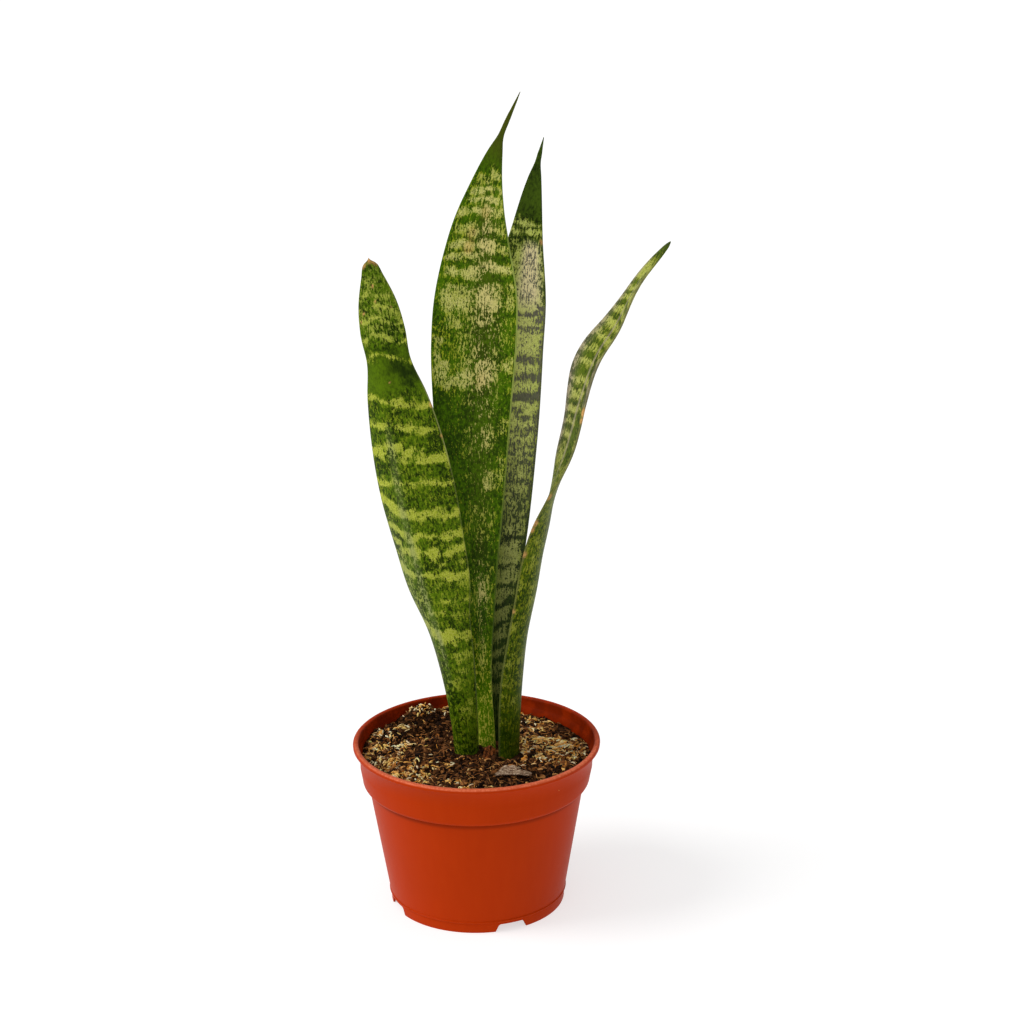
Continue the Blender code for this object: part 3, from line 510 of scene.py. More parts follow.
def plastic():
    paint = Paint("pot_plastic")
    place = paint.place()
    height = paint.split(place)[2]
    inside = paint.attribute("inside", "Fac")
    broad = paint.cloud(place, 0.035, 2.0)
    grain = paint.cloud(place, 1.3, 3.0, 0.6)
    streaks = paint.cloud(place, (0.35, 0.35, 0.03), 3.0)
    dust = paint.step(paint.cloud(place, 0.55, 5.0, 0.7), 0.62, 0.8, 0.0, 0.1)
    # Painted shade: a dark line in the crease under the band
    crease_shade = paint.step(height, WALL_TOP + 1.4, WALL_TOP + 0.8, 0.0, 0.45)
    crease_shade = paint.times(paint.step(height, WALL_TOP - 1.9, WALL_TOP + 0.1), crease_shade)
    # Painted shade on the inner wall, broken up by noise
    inner_shade = paint.step(paint.cloud(place, 0.12, 4.0, 0.6), 0.35, 0.65, 0.35, 0.7)
    # Painted highlight along the top of the lip, broken up by noise
    lip_highlight = paint.step(paint.cloud(place, 0.9, 4.0, 0.7), 0.35, 0.7, 0.4, 0.9)
    lip_highlight = paint.times(paint.step(height, LIP_TOP - 1.1, LIP_TOP - 0.4), lip_highlight)
    colour = paint.coats(
        srgb(176, 48, 0),
        (broad, srgb(162, 45, 0)),
        (paint.times(streaks, 0.25), srgb(190, 62, 4)),
        (dust, srgb(206, 104, 58)),
        (crease_shade, srgb(84, 20, 0)),
        (paint.times(inside, inner_shade), srgb(76, 16, 2)),
        (lip_highlight, srgb(230, 122, 86)),
    )
    rough = paint.sum(paint.times(grain, 0.14), 0.36)
    bump = paint.relief(paint.sum(grain, paint.times(streaks, 0.7)), 0.05, 0.5)
    return paint.finish(colour, rough, bump, 0.035)


LEAF_LOOKS = {  # deep green, fresh green, flecks, pale band, paler band, painted sheen on dark parts, painted sheen on pale parts, rim
    "leaf_left": (
        (26, 44, 0), (84, 112, 6), (118, 134, 24), (148, 162, 32), (184, 188, 78), (92, 102, 58),
        (150, 156, 104), (146, 150, 90),
    ),
    "leaf_tall": (
        (36, 60, 0), (74, 110, 0), (148, 158, 32), (168, 174, 70), (208, 204, 122), (70, 74, 14),
        (206, 190, 126), (150, 164, 76),
    ),
    # leaf_rear's rim colour is dark: painted shade along its right margin
    "leaf_rear": (
        (26, 40, 4), (66, 88, 16), (138, 150, 56), (170, 182, 74), (204, 210, 116), (112, 108, 92),
        (228, 214, 162), (46, 62, 18),
    ),
    "leaf_right": (
        (42, 60, 0), (88, 110, 4), (128, 134, 12), (150, 162, 46), (184, 188, 88), (94, 90, 76),
        (160, 148, 124), (122, 118, 78),
    ),
}
YOUNG_GREEN = srgb(112, 160, 0)
YOUNG_GOLD = srgb(220, 216, 84)
PORES = srgb(8, 16, 0)
DRY_SPOT = srgb(212, 158, 96)
# The colour of the painted shade towards the foot of a leaf
LEAF_SHADE = srgb(8, 32, 2)


def leaf_paint(name):
    looks = (srgb(*look) for look in LEAF_LOOKS[name])
    deep, fresh, fleck, pale, paler, dark_sheen_colour, pale_sheen_colour, rim = looks
    paint = Paint(name)
    place = paint.attribute("place")
    band, margin, pale_sheen = paint.split(paint.attribute("marks"))
    rust, shade, mottle = paint.split(paint.attribute("rust_shade_mottle"))
    rim_share, fold_highlight, dark_sheen = paint.split(paint.attribute("lines"))
    teeth = paint.cloud(place, (1.1, 0.18, 1), 3.0, 0.65)
    fine = paint.cloud(place, (1.5, 0.55, 1), 3.0, 0.65)
    grain = paint.cloud(place, (2.6, 1.5, 1), 2.0, 0.6)
    tones = paint.cloud(place, (0.9, 0.5, 1), 4.0, 0.7, 0.4)
    broad = paint.cloud(place, (0.12, 0.06, 1), 2.0)
    streaks = paint.cloud(place, (1.7, 0.02, 1), 3.0, 0.6)

    edge = band
    for cloud, size in ((teeth, 9.0), (fine, mottle), (grain, 6.0)):
        edge = paint.sum(edge, paint.swing(cloud, size))
    share = paint.step(edge, -0.7, 0.7)

    tone = paint.sum(paint.swing(tones, paint.times(mottle, 0.1)), paint.swing(broad, 0.5))
    dark = paint.coats(
        deep,
        (paint.step(tone, -0.12, 0.12), fresh),
        # painted sheen on the dark parts
        (dark_sheen, dark_sheen_colour),
        (paint.step(shade, 0.0, -1.0), YOUNG_GREEN),
    )
    light = paint.mix(paint.step(grain, 0.38, 0.62), pale, paler)
    light = paint.coats(
        fleck,
        (paint.step(band, -1.0, 1.2), light),
        # painted sheen on the pale parts
        (pale_sheen, pale_sheen_colour),
        (paint.step(shade, 0.0, -0.5), YOUNG_GOLD),
    )
    colour = paint.coats(
        dark,
        (share, light),
        (paint.step(fine, 0.3, 0.6, 0.3, 0.0), PORES),
        (paint.times(paint.step(streaks, 0.45, 0.75), 0.2), fresh),
        # painted highlight along the fold
        (fold_highlight, pale_sheen_colour),
        (paint.times(paint.step(margin, 0.4, 0.15), rim_share), rim),
        (paint.times(rust, paint.step(fine, 0.35, 0.55, 0.2, 1.0)), DRY_SPOT),
        # painted shade towards the soil
        (shade, LEAF_SHADE),
    )
    waxy = paint.sum(paint.times(fine, 0.16), 0.36)
    bump = paint.relief(paint.sum(streaks, paint.times(share, 0.15)), 0.12, 0.5)
    bump = paint.relief(fine, 0.05, 0.5, bump)
    return paint.finish(colour, waxy, bump, 0.04)


def earth_paint():
    paint = Paint("potting_mix")
    place = paint.place()
    clods = paint.cloud(place, 0.35, 6.0, 0.7)
    grain = paint.cloud(place, 2.2, 4.0, 0.75)
    fibres = paint.cloud(place, (3.0, 0.6, 1.5), 3.0, 0.7, 1.5)
    colour = paint.coats(
        srgb(16, 7, 2),
        (paint.step(clods, 0.35, 0.65), srgb(56, 31, 13)),
        (paint.step(grain, 0.5, 0.8, 0.0, 0.8), srgb(104, 66, 34)),
        (paint.step(fibres, 0.62, 0.72, 0.0, 0.55), srgb(158, 118, 62)),
    )
    bump = paint.relief(clods, 0.8, 0.8)
    bump = paint.relief(paint.sum(grain, fibres), 0.35, 0.9, bump)
    return paint.finish(colour, paint.step(grain, 0.2, 0.8, 0.85, 1.0), bump)


def bits_paint(name):
    """The bits in the soil take their colour from each bit's own tint."""
    paint = Paint(name)
    place = paint.place()
    tint = paint.attribute("tint", "Color")
    grain = paint.cloud(place, 2.6, 4.0, 0.7)
    colour = paint.mix(paint.step(grain, 0.48, 0.7, 0.0, 0.6), tint, srgb(36, 17, 5))
    rough = paint.step(grain, 0.2, 0.8, 0.6, 0.95)
    return paint.finish(colour, rough, paint.relief(grain, 0.2, 0.8))


def fibrous_paint(name, base, light, dark, stretch, rough=0.7, relief=0.3):
    """Dry plant skin or wood, with its grain along one way, and paler where its edge is marked."""
    paint = Paint(name)
    place = paint.place()
    grain = paint.cloud(place, stretch, 4.0, 0.65)
    spots = paint.cloud(place, 0.8, 4.0, 0.7)
    colour = paint.coats(
        srgb(*base),
        (paint.step(grain, 0.42, 0.6), srgb(*light)),
        (paint.step(spots, 0.5, 0.72, 0.0, 0.8), srgb(*dark)),
        (paint.attribute("edge", "Fac"), srgb(214, 176, 124)),
    )
    rough = paint.step(spots, 0.2, 0.8, rough, rough + 0.2)
    return paint.finish(colour, rough, paint.relief(grain, relief, 0.8))


# ---- meshes


def piece(name, mesh, material, slot, *nodes):
    """Puts a mesh in the scene as a piece of the plant that stands for the CAD nodes."""
    obj = bpy.data.objects.new(name, mesh)
    bpy.context.scene.collection.objects.link(obj)
    mesh.materials.clear()
    mesh.materials.append(material)
    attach(obj, "root")
    if nodes:
        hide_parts(*nodes)
    return obj


def world(points):
    """Metres in the row frame, from millimetres about the pot's axis."""
    return np.asarray(points, float) * MM + np.array(AXIS)


def mesh_from(name, points, faces, smooth=True):
    mesh = bpy.data.meshes.new(name)
    mesh.from_pydata(world(points).tolist(), [], [list(map(int, face)) for face in faces])
    shape = bmesh.new()
    shape.from_mesh(mesh)
    bmesh.ops.recalc_face_normals(shape, faces=shape.faces)
    shape.to_mesh(mesh)
    shape.free()
    if smooth:
        mesh.shade_smooth()
    return mesh


def out_of_round(mesh):
    """Brings the upper pot, or what lies in it, to the rim's true form."""
    flat = np.empty(len(mesh.vertices) * 3, np.float32)
    mesh.vertices.foreach_get("co", flat)
    points = (flat.reshape(-1, 3) - np.array(AXIS)) / MM
    share = np.clip((points[:, 2] - RIM_FROM) / (LIP_TOP - RIM_FROM), 0, 1)
    points[:, 2] -= RIM_DROP * (1 + points[:, 1] / LIP_RADIUS) * share
    points[:, 0] += RIM_DRAW * (1 - points[:, 0] / LIP_RADIUS) * share
    mesh.vertices.foreach_set("co", world(points).astype(np.float32).ravel())


def keep(mesh, name, rows):
    """Stores three numbers a point on the mesh, for its material to read."""
    layer = mesh.attributes.new(name, "FLOAT_VECTOR", "POINT")
    layer.data.foreach_set("vector", np.asarray(rows, np.float32).ravel())


def tint(mesh, colours):
    layer = mesh.attributes.new("tint", "FLOAT_COLOR", "POINT")
    rows = np.column_stack([colours, np.ones(len(colours))])
    layer.data.foreach_set("color", rows.astype(np.float32).ravel())


def ring_faces(rows, around):
    """Quads between rows of points that each run once around."""
    a = np.arange(rows - 1)[:, None] * around + np.arange(around)[None]
    b = np.arange(rows - 1)[:, None] * around + (np.arange(around)[None] + 1) % around
    return np.stack([a, b, b + around, a + around], -1).reshape(-1, 4).tolist()


def closed_rings(rows, around):
    """Faces over rings of points, closed by fans to the two points that follow the last ring."""
    faces = ring_faces(rows, around)
    last, end = (rows - 1) * around, rows * around
    for i in range(around):
        j = (i + 1) % around
        faces += [(end, j, i), (end + 1, last + i, last + j)]
    return faces


def circle(count):
    """Angles that go once around."""
    return np.arange(count) * 2 * math.pi / count


def arc(centre, radius, start, end, count):
    angles = np.radians(np.linspace(start, end, count))
    return [(centre[0] + radius * math.cos(a), centre[1] + radius * math.sin(a)) for a in angles]


def wall_outline(inset, flare_top, flare_points, roll_points):
    """The pot's side from the top of its flare down to the ridge, moved inwards by inset."""
    flare_end = 180 - math.degrees(math.asin((flare_top - BAND_TOP) / FLARE_RADIUS))
    flare_centre = (BAND_TOP_RADIUS + FLARE_RADIUS, BAND_TOP)
    roll_centre = (SHOULDER_RADIUS - SHOULDER_ROLL, SHOULDER_HEIGHT)
    side = arc(flare_centre, FLARE_RADIUS, flare_end, 180, flare_points)
    side += arc(roll_centre, SHOULDER_ROLL, 0, -88, roll_points)
    side += [(WALL_TOP_RADIUS + 0.12, WALL_TOP + 0.6), (WALL_TOP_RADIUS, WALL_TOP - 0.3)]
    side += [(WALL_FOOT_RADIUS, RIDGE_HEIGHT + 0.6)]
    return [(radius - inset, height) for radius, height in side]


def pot_outline():
    """From the floor's middle up the inside, over the lip and down the outside."""
    inner = wall_outline(WALL, FLARE_TOP_INSIDE, 10, 6)[::-1]
    inner[0] = (WALL_FOOT_RADIUS - WALL, FLOOR_TOP)
    lip_inner = LIP_RADIUS - LIP_WIDTH
    inside, outside = LIP_ROUND_INSIDE, LIP_ROUND_OUTSIDE
    lip = arc((lip_inner + inside, LIP_TOP - inside - 0.1), inside, 180, 100, 5)
    lip += arc((LIP_RADIUS - outside, LIP_TOP - outside), outside, 95, -10, 8)
    lip += [(LIP_RADIUS - 0.1, LIP_TOP - 1.75)]
    outer = wall_outline(0, FLARE_TOP, 12, 8)
    ridge = arc((WALL_FOOT_RADIUS - 0.15, RIDGE_HEIGHT), RIDGE_ROUND, 75, -75, 6)
    foot = [
        (FOOT_RADIUS + 0.12, RIDGE_HEIGHT - 0.8),
        (FOOT_RADIUS, 0.45),
        (FOOT_RADIUS - 0.12, 0.12),
        (FOOT_RADIUS - 0.4, 0),
        (FOOT_RADIUS - WALL, 0),
        (FOOT_RADIUS - WALL, FLOOR_UNDER),
    ]
    return [(0, FLOOR_TOP)] + inner + lip + outer + ridge + foot + [(0, FLOOR_UNDER)]


def cutter_mesh(name, shape, place, turn):
    mesh = bpy.data.meshes.new(name)
    bmesh.ops.recalc_face_normals(shape, faces=shape.faces)
    bmesh.ops.scale(shape, vec=(MM,) * 3, verts=shape.verts)
    shape.to_mesh(mesh)
    shape.free()
    obj = bpy.data.objects.new(name, mesh)
    obj.location = AXIS + Vector(place) * MM
    obj.rotation_euler.z = turn
    return obj


def notch_cutter(angle):
    shape = bmesh.new()
    bmesh.ops.create_cube(shape, size=2.0)
    for vertex in shape.verts:
        side, out, up = vertex.co
        width = NOTCH_WIDTH - NOTCH_NARROWING * up
        vertex.co = (side * width / 2, out * NOTCH_REACH, up * NOTCH_HEIGHT)
    around = math.radians(angle)
    place = (math.sin(around) * FOOT_RADIUS, -math.cos(around) * FOOT_RADIUS, 0)
    obj = cutter_mesh(f"notch_{angle}", shape, place, around)
    bevel = obj.modifiers.new("round", "BEVEL")
    bevel.width = NOTCH_ROUNDING * MM
    bevel.segments = 4
    return obj


def drain_cutter(index):
    shape = bmesh.new()
    size = {"radius1": DRAIN_RADIUS, "radius2": DRAIN_RADIUS, "depth": DRAIN_CUT}
    bmesh.ops.create_cone(shape, cap_ends=True, segments=32, **size)
    around = 2 * math.pi * (index + 0.5) / DRAIN_HOLES
    middle = (FLOOR_TOP + FLOOR_UNDER) / 2
    place = (math.cos(around) * DRAIN_CIRCLE, math.sin(around) * DRAIN_CIRCLE, middle)
    return cutter_mesh(f"drain_{index}", shape, place, 0)


def make_pot():
    outline = pot_outline()
    angles = circle(POT_STEPS)
    rings = [
        np.column_stack([r * np.cos(angles), r * np.sin(angles), np.full(POT_STEPS, z)])
        for r, z in outline[1:-1]
    ]
    points = np.concatenate(rings + [[(0, 0, outline[0][1])], [(0, 0, outline[-1][1])]])
    mesh = mesh_from("pot_shell", points, closed_rings(len(rings), POT_STEPS))
    pot = piece("pot_shell", mesh, plastic(), "pot_plastic", "pot")
    cutters = bpy.data.collections.new("pot_cutters")
    notches = [notch_cutter(angle) for angle in NOTCH_ANGLES]
    for obj in notches + [drain_cutter(i) for i in range(DRAIN_HOLES)]:
        cutters.objects.link(obj)
    bpy.context.scene.collection.children.link(cutters)
    cut = pot.modifiers.new("cut", "BOOLEAN")
    cut.operation, cut.solver = "DIFFERENCE", "EXACT"
    cut.operand_type, cut.collection = "COLLECTION", cutters
    graph = bpy.context.evaluated_depsgraph_get()
    mesh = bpy.data.meshes.new_from_object(pot.evaluated_get(graph))
    pot.modifiers.clear()
    pot.data = mesh
    mesh.shade_smooth()
    mesh.set_sharp_from_angle(angle=math.radians(SHARP_ANGLE))
    for obj in list(cutters.objects):
        bpy.data.objects.remove(obj, do_unlink=True)
    bpy.data.collections.remove(cutters)
    inside = mesh.attributes.new("inside", "FLOAT", "POINT")
    for vertex, value in zip(mesh.vertices, inside.data):
        outward = (vertex.co - AXIS).xy.normalized().dot(vertex.normal.xy)
        value.value = max(0.0, min(1.0, -3.0 * outward))
    out_of_round(mesh)


def through(rows, heights):
    """Smooth curves through rows of (height, value, ...), read at the heights."""
    table = np.array(rows, float)
    knots, values = table[:, 0], table[:, 1:]
    slopes = np.gradient(values, knots, axis=0)
    i = np.clip(np.searchsorted(knots, heights, side="right") - 1, 0, len(knots) - 2)
    span = (knots[i + 1] - knots[i])[:, None]
    t = (heights - knots[i])[:, None] / span
    return (
        (1 + 2 * t) * (1 - t) ** 2 * values[i]
        + t * (1 - t) ** 2 * span * slopes[i]
        + t * t * (3 - 2 * t) * values[i + 1]
        + t * t * (t - 1) * span * slopes[i + 1]
    )


def read(rows, heights):
    """Straight lines through rows of (height, value), read at the heights."""
    return np.interp(heights, *zip(*rows))


def unit(vectors):
    return vectors / np.linalg.norm(vectors, axis=-1, keepdims=True)


def leaf_rings(leaf, tip, heights):
    """The blade as rings of points: its front, one margin, its back, the other margin."""
    centre = np.column_stack([through(leaf["spine"], heights), heights])
    half_width = np.abs(through(leaf["width"], heights))
    turn = np.radians(through(leaf["turn"], heights))
    cup = through(leaf["cup"], heights)
    thick = read(leaf["thick"], heights)[:, None]
    thick = np.maximum(np.minimum(thick, 1.3 * half_width + 0.2), BLADE_EDGE)

    along = unit(np.gradient(centre, axis=0))
    level = unit(np.array([1.0, 0.0, 0.0]) - along[:, :1] * along)
    depth = np.cross(along, level)
    across = np.cos(turn) * level + np.sin(turn) * depth
    facing = np.sin(turn) * level - np.cos(turn) * depth

    even = np.linspace(-1, 1, LEAF_COLUMNS + 1)
    s = (even + np.sin(even * math.pi / 2)) / 2
    keel, softness = leaf["keel"], leaf["softness"]
    reach = math.hypot(1, softness) - softness
    lift = (np.hypot(s - keel, softness) - softness) / reach
    slope = cup / half_width * (s - keel) / np.hypot(s - keel, softness) / reach
    half = (BLADE_EDGE + (thick - BLADE_EDGE) * (1 - s * s) ** BLADE_FULLNESS) / 2
    middle = (
        centre[:, None]
        + across[:, None] * (half_width * s)[:, :, None]
        + facing[:, None] * (cup * lift)[:, :, None]
    )
    outward = unit(facing[:, None] - across[:, None] * slope[:, :, None])
    front = middle + outward * half[:, :, None]
    back = middle - outward * half[:, :, None]
    left = middle[:, :1] - across[:, None] * MARGIN_BULGE
    right = middle[:, -1:] + across[:, None] * MARGIN_BULGE
    rings = np.concatenate([front, right, back[:, ::-1], left], axis=1)

    share = read(tip, heights[-1] - heights)[:, None, None]
    rings = centre[:, None] + (rings - centre[:, None]) * share
    s_ring = np.concatenate([s, [1], s[::-1], [-1]])
    side = np.concatenate([np.ones(len(s)), [0], -np.ones(len(s)), [0]])
    return rings, s_ring, side, half_width[:, 0]


def waver(points, size, seed):
    """Smooth unevenness of the given size in millimetres, one value a point."""
    return np.array([noise.noise(Vector((x / size, z / size, seed))) for x, z in points])


def in_patch(x, z, patch, wide):
    """How far inside a patch with rounded corners each point lies, in millimetres."""
    height, start, end, half = patch[:4]
    beyond = np.maximum(start * wide - x, x - end * wide)
    above = np.abs(z - height) - half
    corner = np.minimum(half, (end - start) * wide / 2) * 0.5
    outside = np.hypot(np.maximum(beyond + corner, 0), np.maximum(above + corner, 0))
    return corner - outside - np.minimum(np.maximum(beyond, above) + corner, 0)


def band_marks(leaf, marks, z, s, side, wide):
    """How far inside a pale band each point lies, in millimetres; below zero is dark."""
    flat = np.column_stack([(s * wide + SIDES_APART * side).ravel(), z.ravel()])

    def wave(size, seed):
        return waver(flat, size, seed).reshape(z.shape)

    clumps = wave(3.2, 4.3)
    x = s * wide + 1.6 * wave(4.5, 2.3)
    z = z + 2.0 * wave(6.5, 0.3) + 1.3 * wave(2.2, 1.3)

    def away(band):
        """How far each point is above or below the middle of a band."""
        places = (-BAND_ENDS, leaf["keel"], BAND_ENDS)
        return np.abs(z - np.interp(s, places, band[:3]))

    field = read(marks["ground"], z)
    for band in marks.get("bands", ()):
        inside = band[3] * (1 + 0.9 * clumps) - away(band)
        field = np.maximum(field, np.minimum(inside, BAND_MOST))
    for patch in marks.get("patches", ()):
        field = np.maximum(field, np.minimum(in_patch(x, z, patch, wide), patch[4]))
    for band in marks.get("dark", ()):
        field = np.minimum(field, (away(band) - band[3] * (1 + clumps)) * 1.4)
    for patch in marks["dark_patches"]:
        field = np.minimum(field, -in_patch(x, z, patch, wide) * 1.6)
    return field + 1.1 * clumps


def streak(s, middle, width):
    """A soft streak along the leaf, 1 in its middle."""
    return np.exp(-((s - middle) / width) ** 2)


def sheen_marks(name, z, s):
    """Painted sheen: where a grey reflection lies on the leaf's pale parts and on its dark ones,
    from 0 to 1.
    """
    if name == "leaf_left":
        sheen = streak(s, -0.35, 0.09) * read(((100, 0), (120, 0.75), (215, 0.5), (225, 0)), z)
        margin = read(((95, 0), (115, 1.2), (160, 1), (190, 0)), z)
        sheen = sheen + np.clip(-s - 0.3, 0, 0.5) * margin
        return sheen + read(((254, 0), (260, 0.12)), z), 0.7 * sheen
    if name == "leaf_rear":
        middle = np.clip((0.62 - np.abs(s - 0.4)) * 2.6, 0, 1)
        across = np.clip((1.3 - np.abs(s - 0.4)) * 1.5, 0, 1)
        low = ((90, 0.1), (160, 0.2))
        pale = read(low + ((225, 0.1), (258, 0.2), (266, 1), (285, 1), (290, 0)), z)
        dark = read(low + ((205, 0.65), (285, 1), (290, 0)), z)
        return middle * pale, np.where(z < 262, across, middle) * dark
    if name == "leaf_right":
        left = streak(s, -1, 0.34) * read(((195, 0), (212, 1), (290, 0.6)), z)
        curl = streak(s, 1, 0.28) * read(((226, 0), (232, 1), (246, 1), (251, 0)), z)
        sheen = left + curl + read(((180, 0), (215, 0.3), (250, 0.1)), z)
        return sheen, 0.8 * sheen
    middle = streak(s, 0.25, 0.4)
    low = ((100, 0), (130, 0.6), (150, 0.6), (170, 0.2))
    pale = read(low + ((226, 0.7), (300, 0.7), (320, 0.1)), z)
    dark = read(((140, 0), (170, 0.3), (226, 0.3), (232, 0.35), (300, 0.5), (320, 0.1)), z)
    return middle * pale, np.maximum(middle * dark, read(((322, 0), (334, 0.8), (355, 1)), z))


def fold_highlight_marks(name, z, s):
    """Painted highlight: where the pale line along the fold shows, from 0 to 1."""
    if name != "leaf_right":
        return np.zeros_like(z)
    return streak(s, 0.2, 0.07) * read(((190, 0), (205, 0.8), (275, 0.7), (288, 0)), z)


def make_leaf(name):
    leaf, marks = LEAVES[name], MARKS[name]
    top = leaf["spine"][-1][0]
    heights = np.linspace(LEAF_FOOT, top, int((top - LEAF_FOOT) / LEAF_STEP))
    heights = np.concatenate([heights[:-1], top - np.array(LAST_ROWS)])
    rings, s, side, half_width = leaf_rings(leaf, TIPS[name], heights)
    rows, around = rings.shape[:2]
    faces = ring_faces(rows, around)
    faces += [list(range(around)), [(rows - 1) * around + i for i in range(around)]]
    mesh = mesh_from(name, rings.reshape(-1, 3), faces)

    z = np.repeat(heights[:, None], around, 1)
    s = np.repeat(s[None], rows, 0)
    side = np.repeat(side[None], rows, 0)
    wide = np.repeat(half_width[:, None], around, 1)
    keep(mesh, "place", np.stack([s * wide, z, side * 7.0], -1))
    margin = np.where(side == 0, 0, wide * (1 - np.abs(s)))
    field = band_marks(leaf, marks, z, s, side, wide)
    # painted sheen on the pale and the dark parts of the leaf
    pale_sheen, dark_sheen = np.clip(sheen_marks(name, z, s), 0, 1)
    keep(mesh, "marks", np.stack([field, margin, pale_sheen], -1))
    rust = np.zeros_like(z)
    for height, place, radius, strength in marks["spots"]:
        off = np.hypot((z - height) * 0.7, (s - place) * wide)
        rust = np.maximum(rust, strength * np.exp(-(off / radius) ** 4))
    shade, mottle = read(marks["shade"], z), read(marks["mottle"], z)
    keep(mesh, "rust_shade_mottle", np.stack([rust, shade, mottle], -1))
    rim = read(marks["rim"], z) * (s > 0)
    keep(mesh, "lines", np.stack([rim, fold_highlight_marks(name, z, s), dark_sheen], -1))
    piece(f"{name}_blade", mesh, leaf_paint(name), "leaf", name)


def heap_height(x, y):
    heaps = sum(h * math.exp(-((x - a) ** 2 + (y - b) ** 2) / s ** 2) for a, b, h, s in HEAPS)
    waves = sum(h * math.sin(2 * math.pi * (x / a + y / b) + start) for h, a, b, start in WAVES)
    inland = min(1.0, max(0.0, (BAND_TOP_RADIUS - math.hypot(x, y)) / EDGE_CALM))
    height = SOIL_EDGE + heaps * (0.6 + 0.4 * inland) + waves * inland
    return height if inland > 0.3 else min(height, SOIL_EDGE_HIGHEST)


def ground_height(x, y):
    """The soil's surface with its clods, at the scale of single crumbs."""
    clods = noise.fractal(Vector((x * 0.22, y * 0.22, 3.1)), 0.8, 2.0, 4)
    crumbs = noise.noise(Vector((x * 1.4, y * 1.4, 7.7)))
    return heap_height(x, y) + 1.0 * clods + 0.4 * crumbs


def edge_radius(height):
    """How far the soil reaches where it meets the flare of the wall."""
    rise = max(0.0, height - BAND_TOP)
    flare = FLARE_RADIUS - math.sqrt(FLARE_RADIUS ** 2 - rise ** 2)
    return BAND_TOP_RADIUS + flare - WALL - SOIL_GAP / 2


def make_soil():
    angles = circle(SOIL_STEPS)
    points = []
    for ring in range(1, SOIL_RINGS + 1):
        radius = edge_radius(SOIL_EDGE) * ring / SOIL_RINGS
        for a in angles:
            x, y = radius * math.cos(a), radius * math.sin(a)
            height = ground_height(x, y)
            if ring == SOIL_RINGS:
                x, y = (c * edge_radius(height) / radius for c in (x, y))
            points.append((x, y, height))
    side = wall_outline(WALL + SOIL_GAP, FLARE_TOP_INSIDE, 4, 3)
    side = [(r, z) for r, z in side if z < SOIL_EDGE - 1]
    side[-1] = (WALL_FOOT_RADIUS - WALL - SOIL_GAP, FLOOR_TOP + SOIL_GAP)
    for radius, z in side:
        points += [(radius * math.cos(a), radius * math.sin(a), z) for a in angles]
    points += [(0, 0, ground_height(0, 0)), (0, 0, FLOOR_TOP + SOIL_GAP)]
    mesh = mesh_from("soil_body", points, closed_rings(SOIL_RINGS + len(side), SOIL_STEPS))
    out_of_round(mesh)
    piece("soil_body", mesh, earth_paint(), "potting_mix", "soil")


def clear_of_leaves(x, y, spare):
    """True outside the feet of the leaves, by at least spare."""
    for leaf in LEAVES.values():
        _, a, b = leaf["spine"][1]
        turn = math.radians(leaf["turn"][0][1])
        across = (x - a) * math.cos(turn) + (y - b) * math.sin(turn)
        depth = -(x - a) * math.sin(turn) + (y - b) * math.cos(turn)
        wide, thick = leaf["width"][1][1] + spare, leaf["thick"][0][1] / 2 + spare
        if (across / wide) ** 2 + (depth / thick) ** 2 < 1:
            return False
    return True


def golden(x, y):
    """How thick the pale bits lie at a place, from 0 to 1."""
    return min(1.0, sum(math.exp(-((x - a) ** 2 + (y - b) ** 2) / s ** 2) for a, b, s in GOLDEN))


def tufted(x, y):
    """How far a place lies in one of the tufts that the pale bits form, from 0 to 1."""
    return min(1.0, max(0.05, 0.5 + 2.4 * noise.noise(Vector((x / 3.0, y / 3.0, 5.5)))))


def scatter(draw, count, spare, wanted):
    """Places on the soil, kept by a chance that wanted gives for each."""
    found = []
    while len(found) < count:
        radius = BITS_REACH * math.sqrt(draw.random())
        around = draw.random() * 2 * math.pi
        x, y = radius * math.cos(around), radius * math.sin(around)
        if radius + spare < BITS_EDGE and draw.random() < wanted(x, y):
            if clear_of_leaves(x, y, spare):
                found.append((x, y, ground_height(x, y)))
    return np.array(found)


def turns(draw, count, tilt):
    """Rotations: a free turn about the vertical after a small random tilt."""
    found = []
    for _ in range(count):
        lean = Matrix.Rotation(draw.normal(0, tilt), 3, "X")
        lean = lean @ Matrix.Rotation(draw.normal(0, tilt), 3, "Y")
        found.append(np.array(Matrix.Rotation(draw.random() * 2 * math.pi, 3, "Z") @ lean))
    return np.array(found)


def lumps(name, draw, places, sizes, colours, detail, tilt, ragged, lift, material):
    """One mesh of many closed lumps."""
    shape = bmesh.new()
    bmesh.ops.create_icosphere(shape, subdivisions=detail, radius=1.0)
    shape.verts.ensure_lookup_table()
    base = np.array([vertex.co for vertex in shape.verts])
    faces = np.array([[vertex.index for vertex in face.verts] for face in shape.faces])
    shape.free()
    count = len(places)
    grown = base[None] * (1 + ragged * draw.uniform(-1, 1, (count, len(base), 1)))
    grown = grown * sizes[:, None]
    spun = np.einsum("nij,nvj->nvi", turns(draw, count, tilt), grown)
    points = spun + places[:, None] + np.array([0, 0, 1.0]) * (sizes[:, 2] * lift)[:, None, None]
    all_faces = (faces[None] + np.arange(count)[:, None, None] * len(base)).reshape(-1, 3)
    mesh = mesh_from(name, points.reshape(-1, 3), all_faces, smooth=False)
    tint(mesh, np.repeat(colours, len(base), 0))
    out_of_round(mesh)
    return piece(name, mesh, material, "potting_mix")


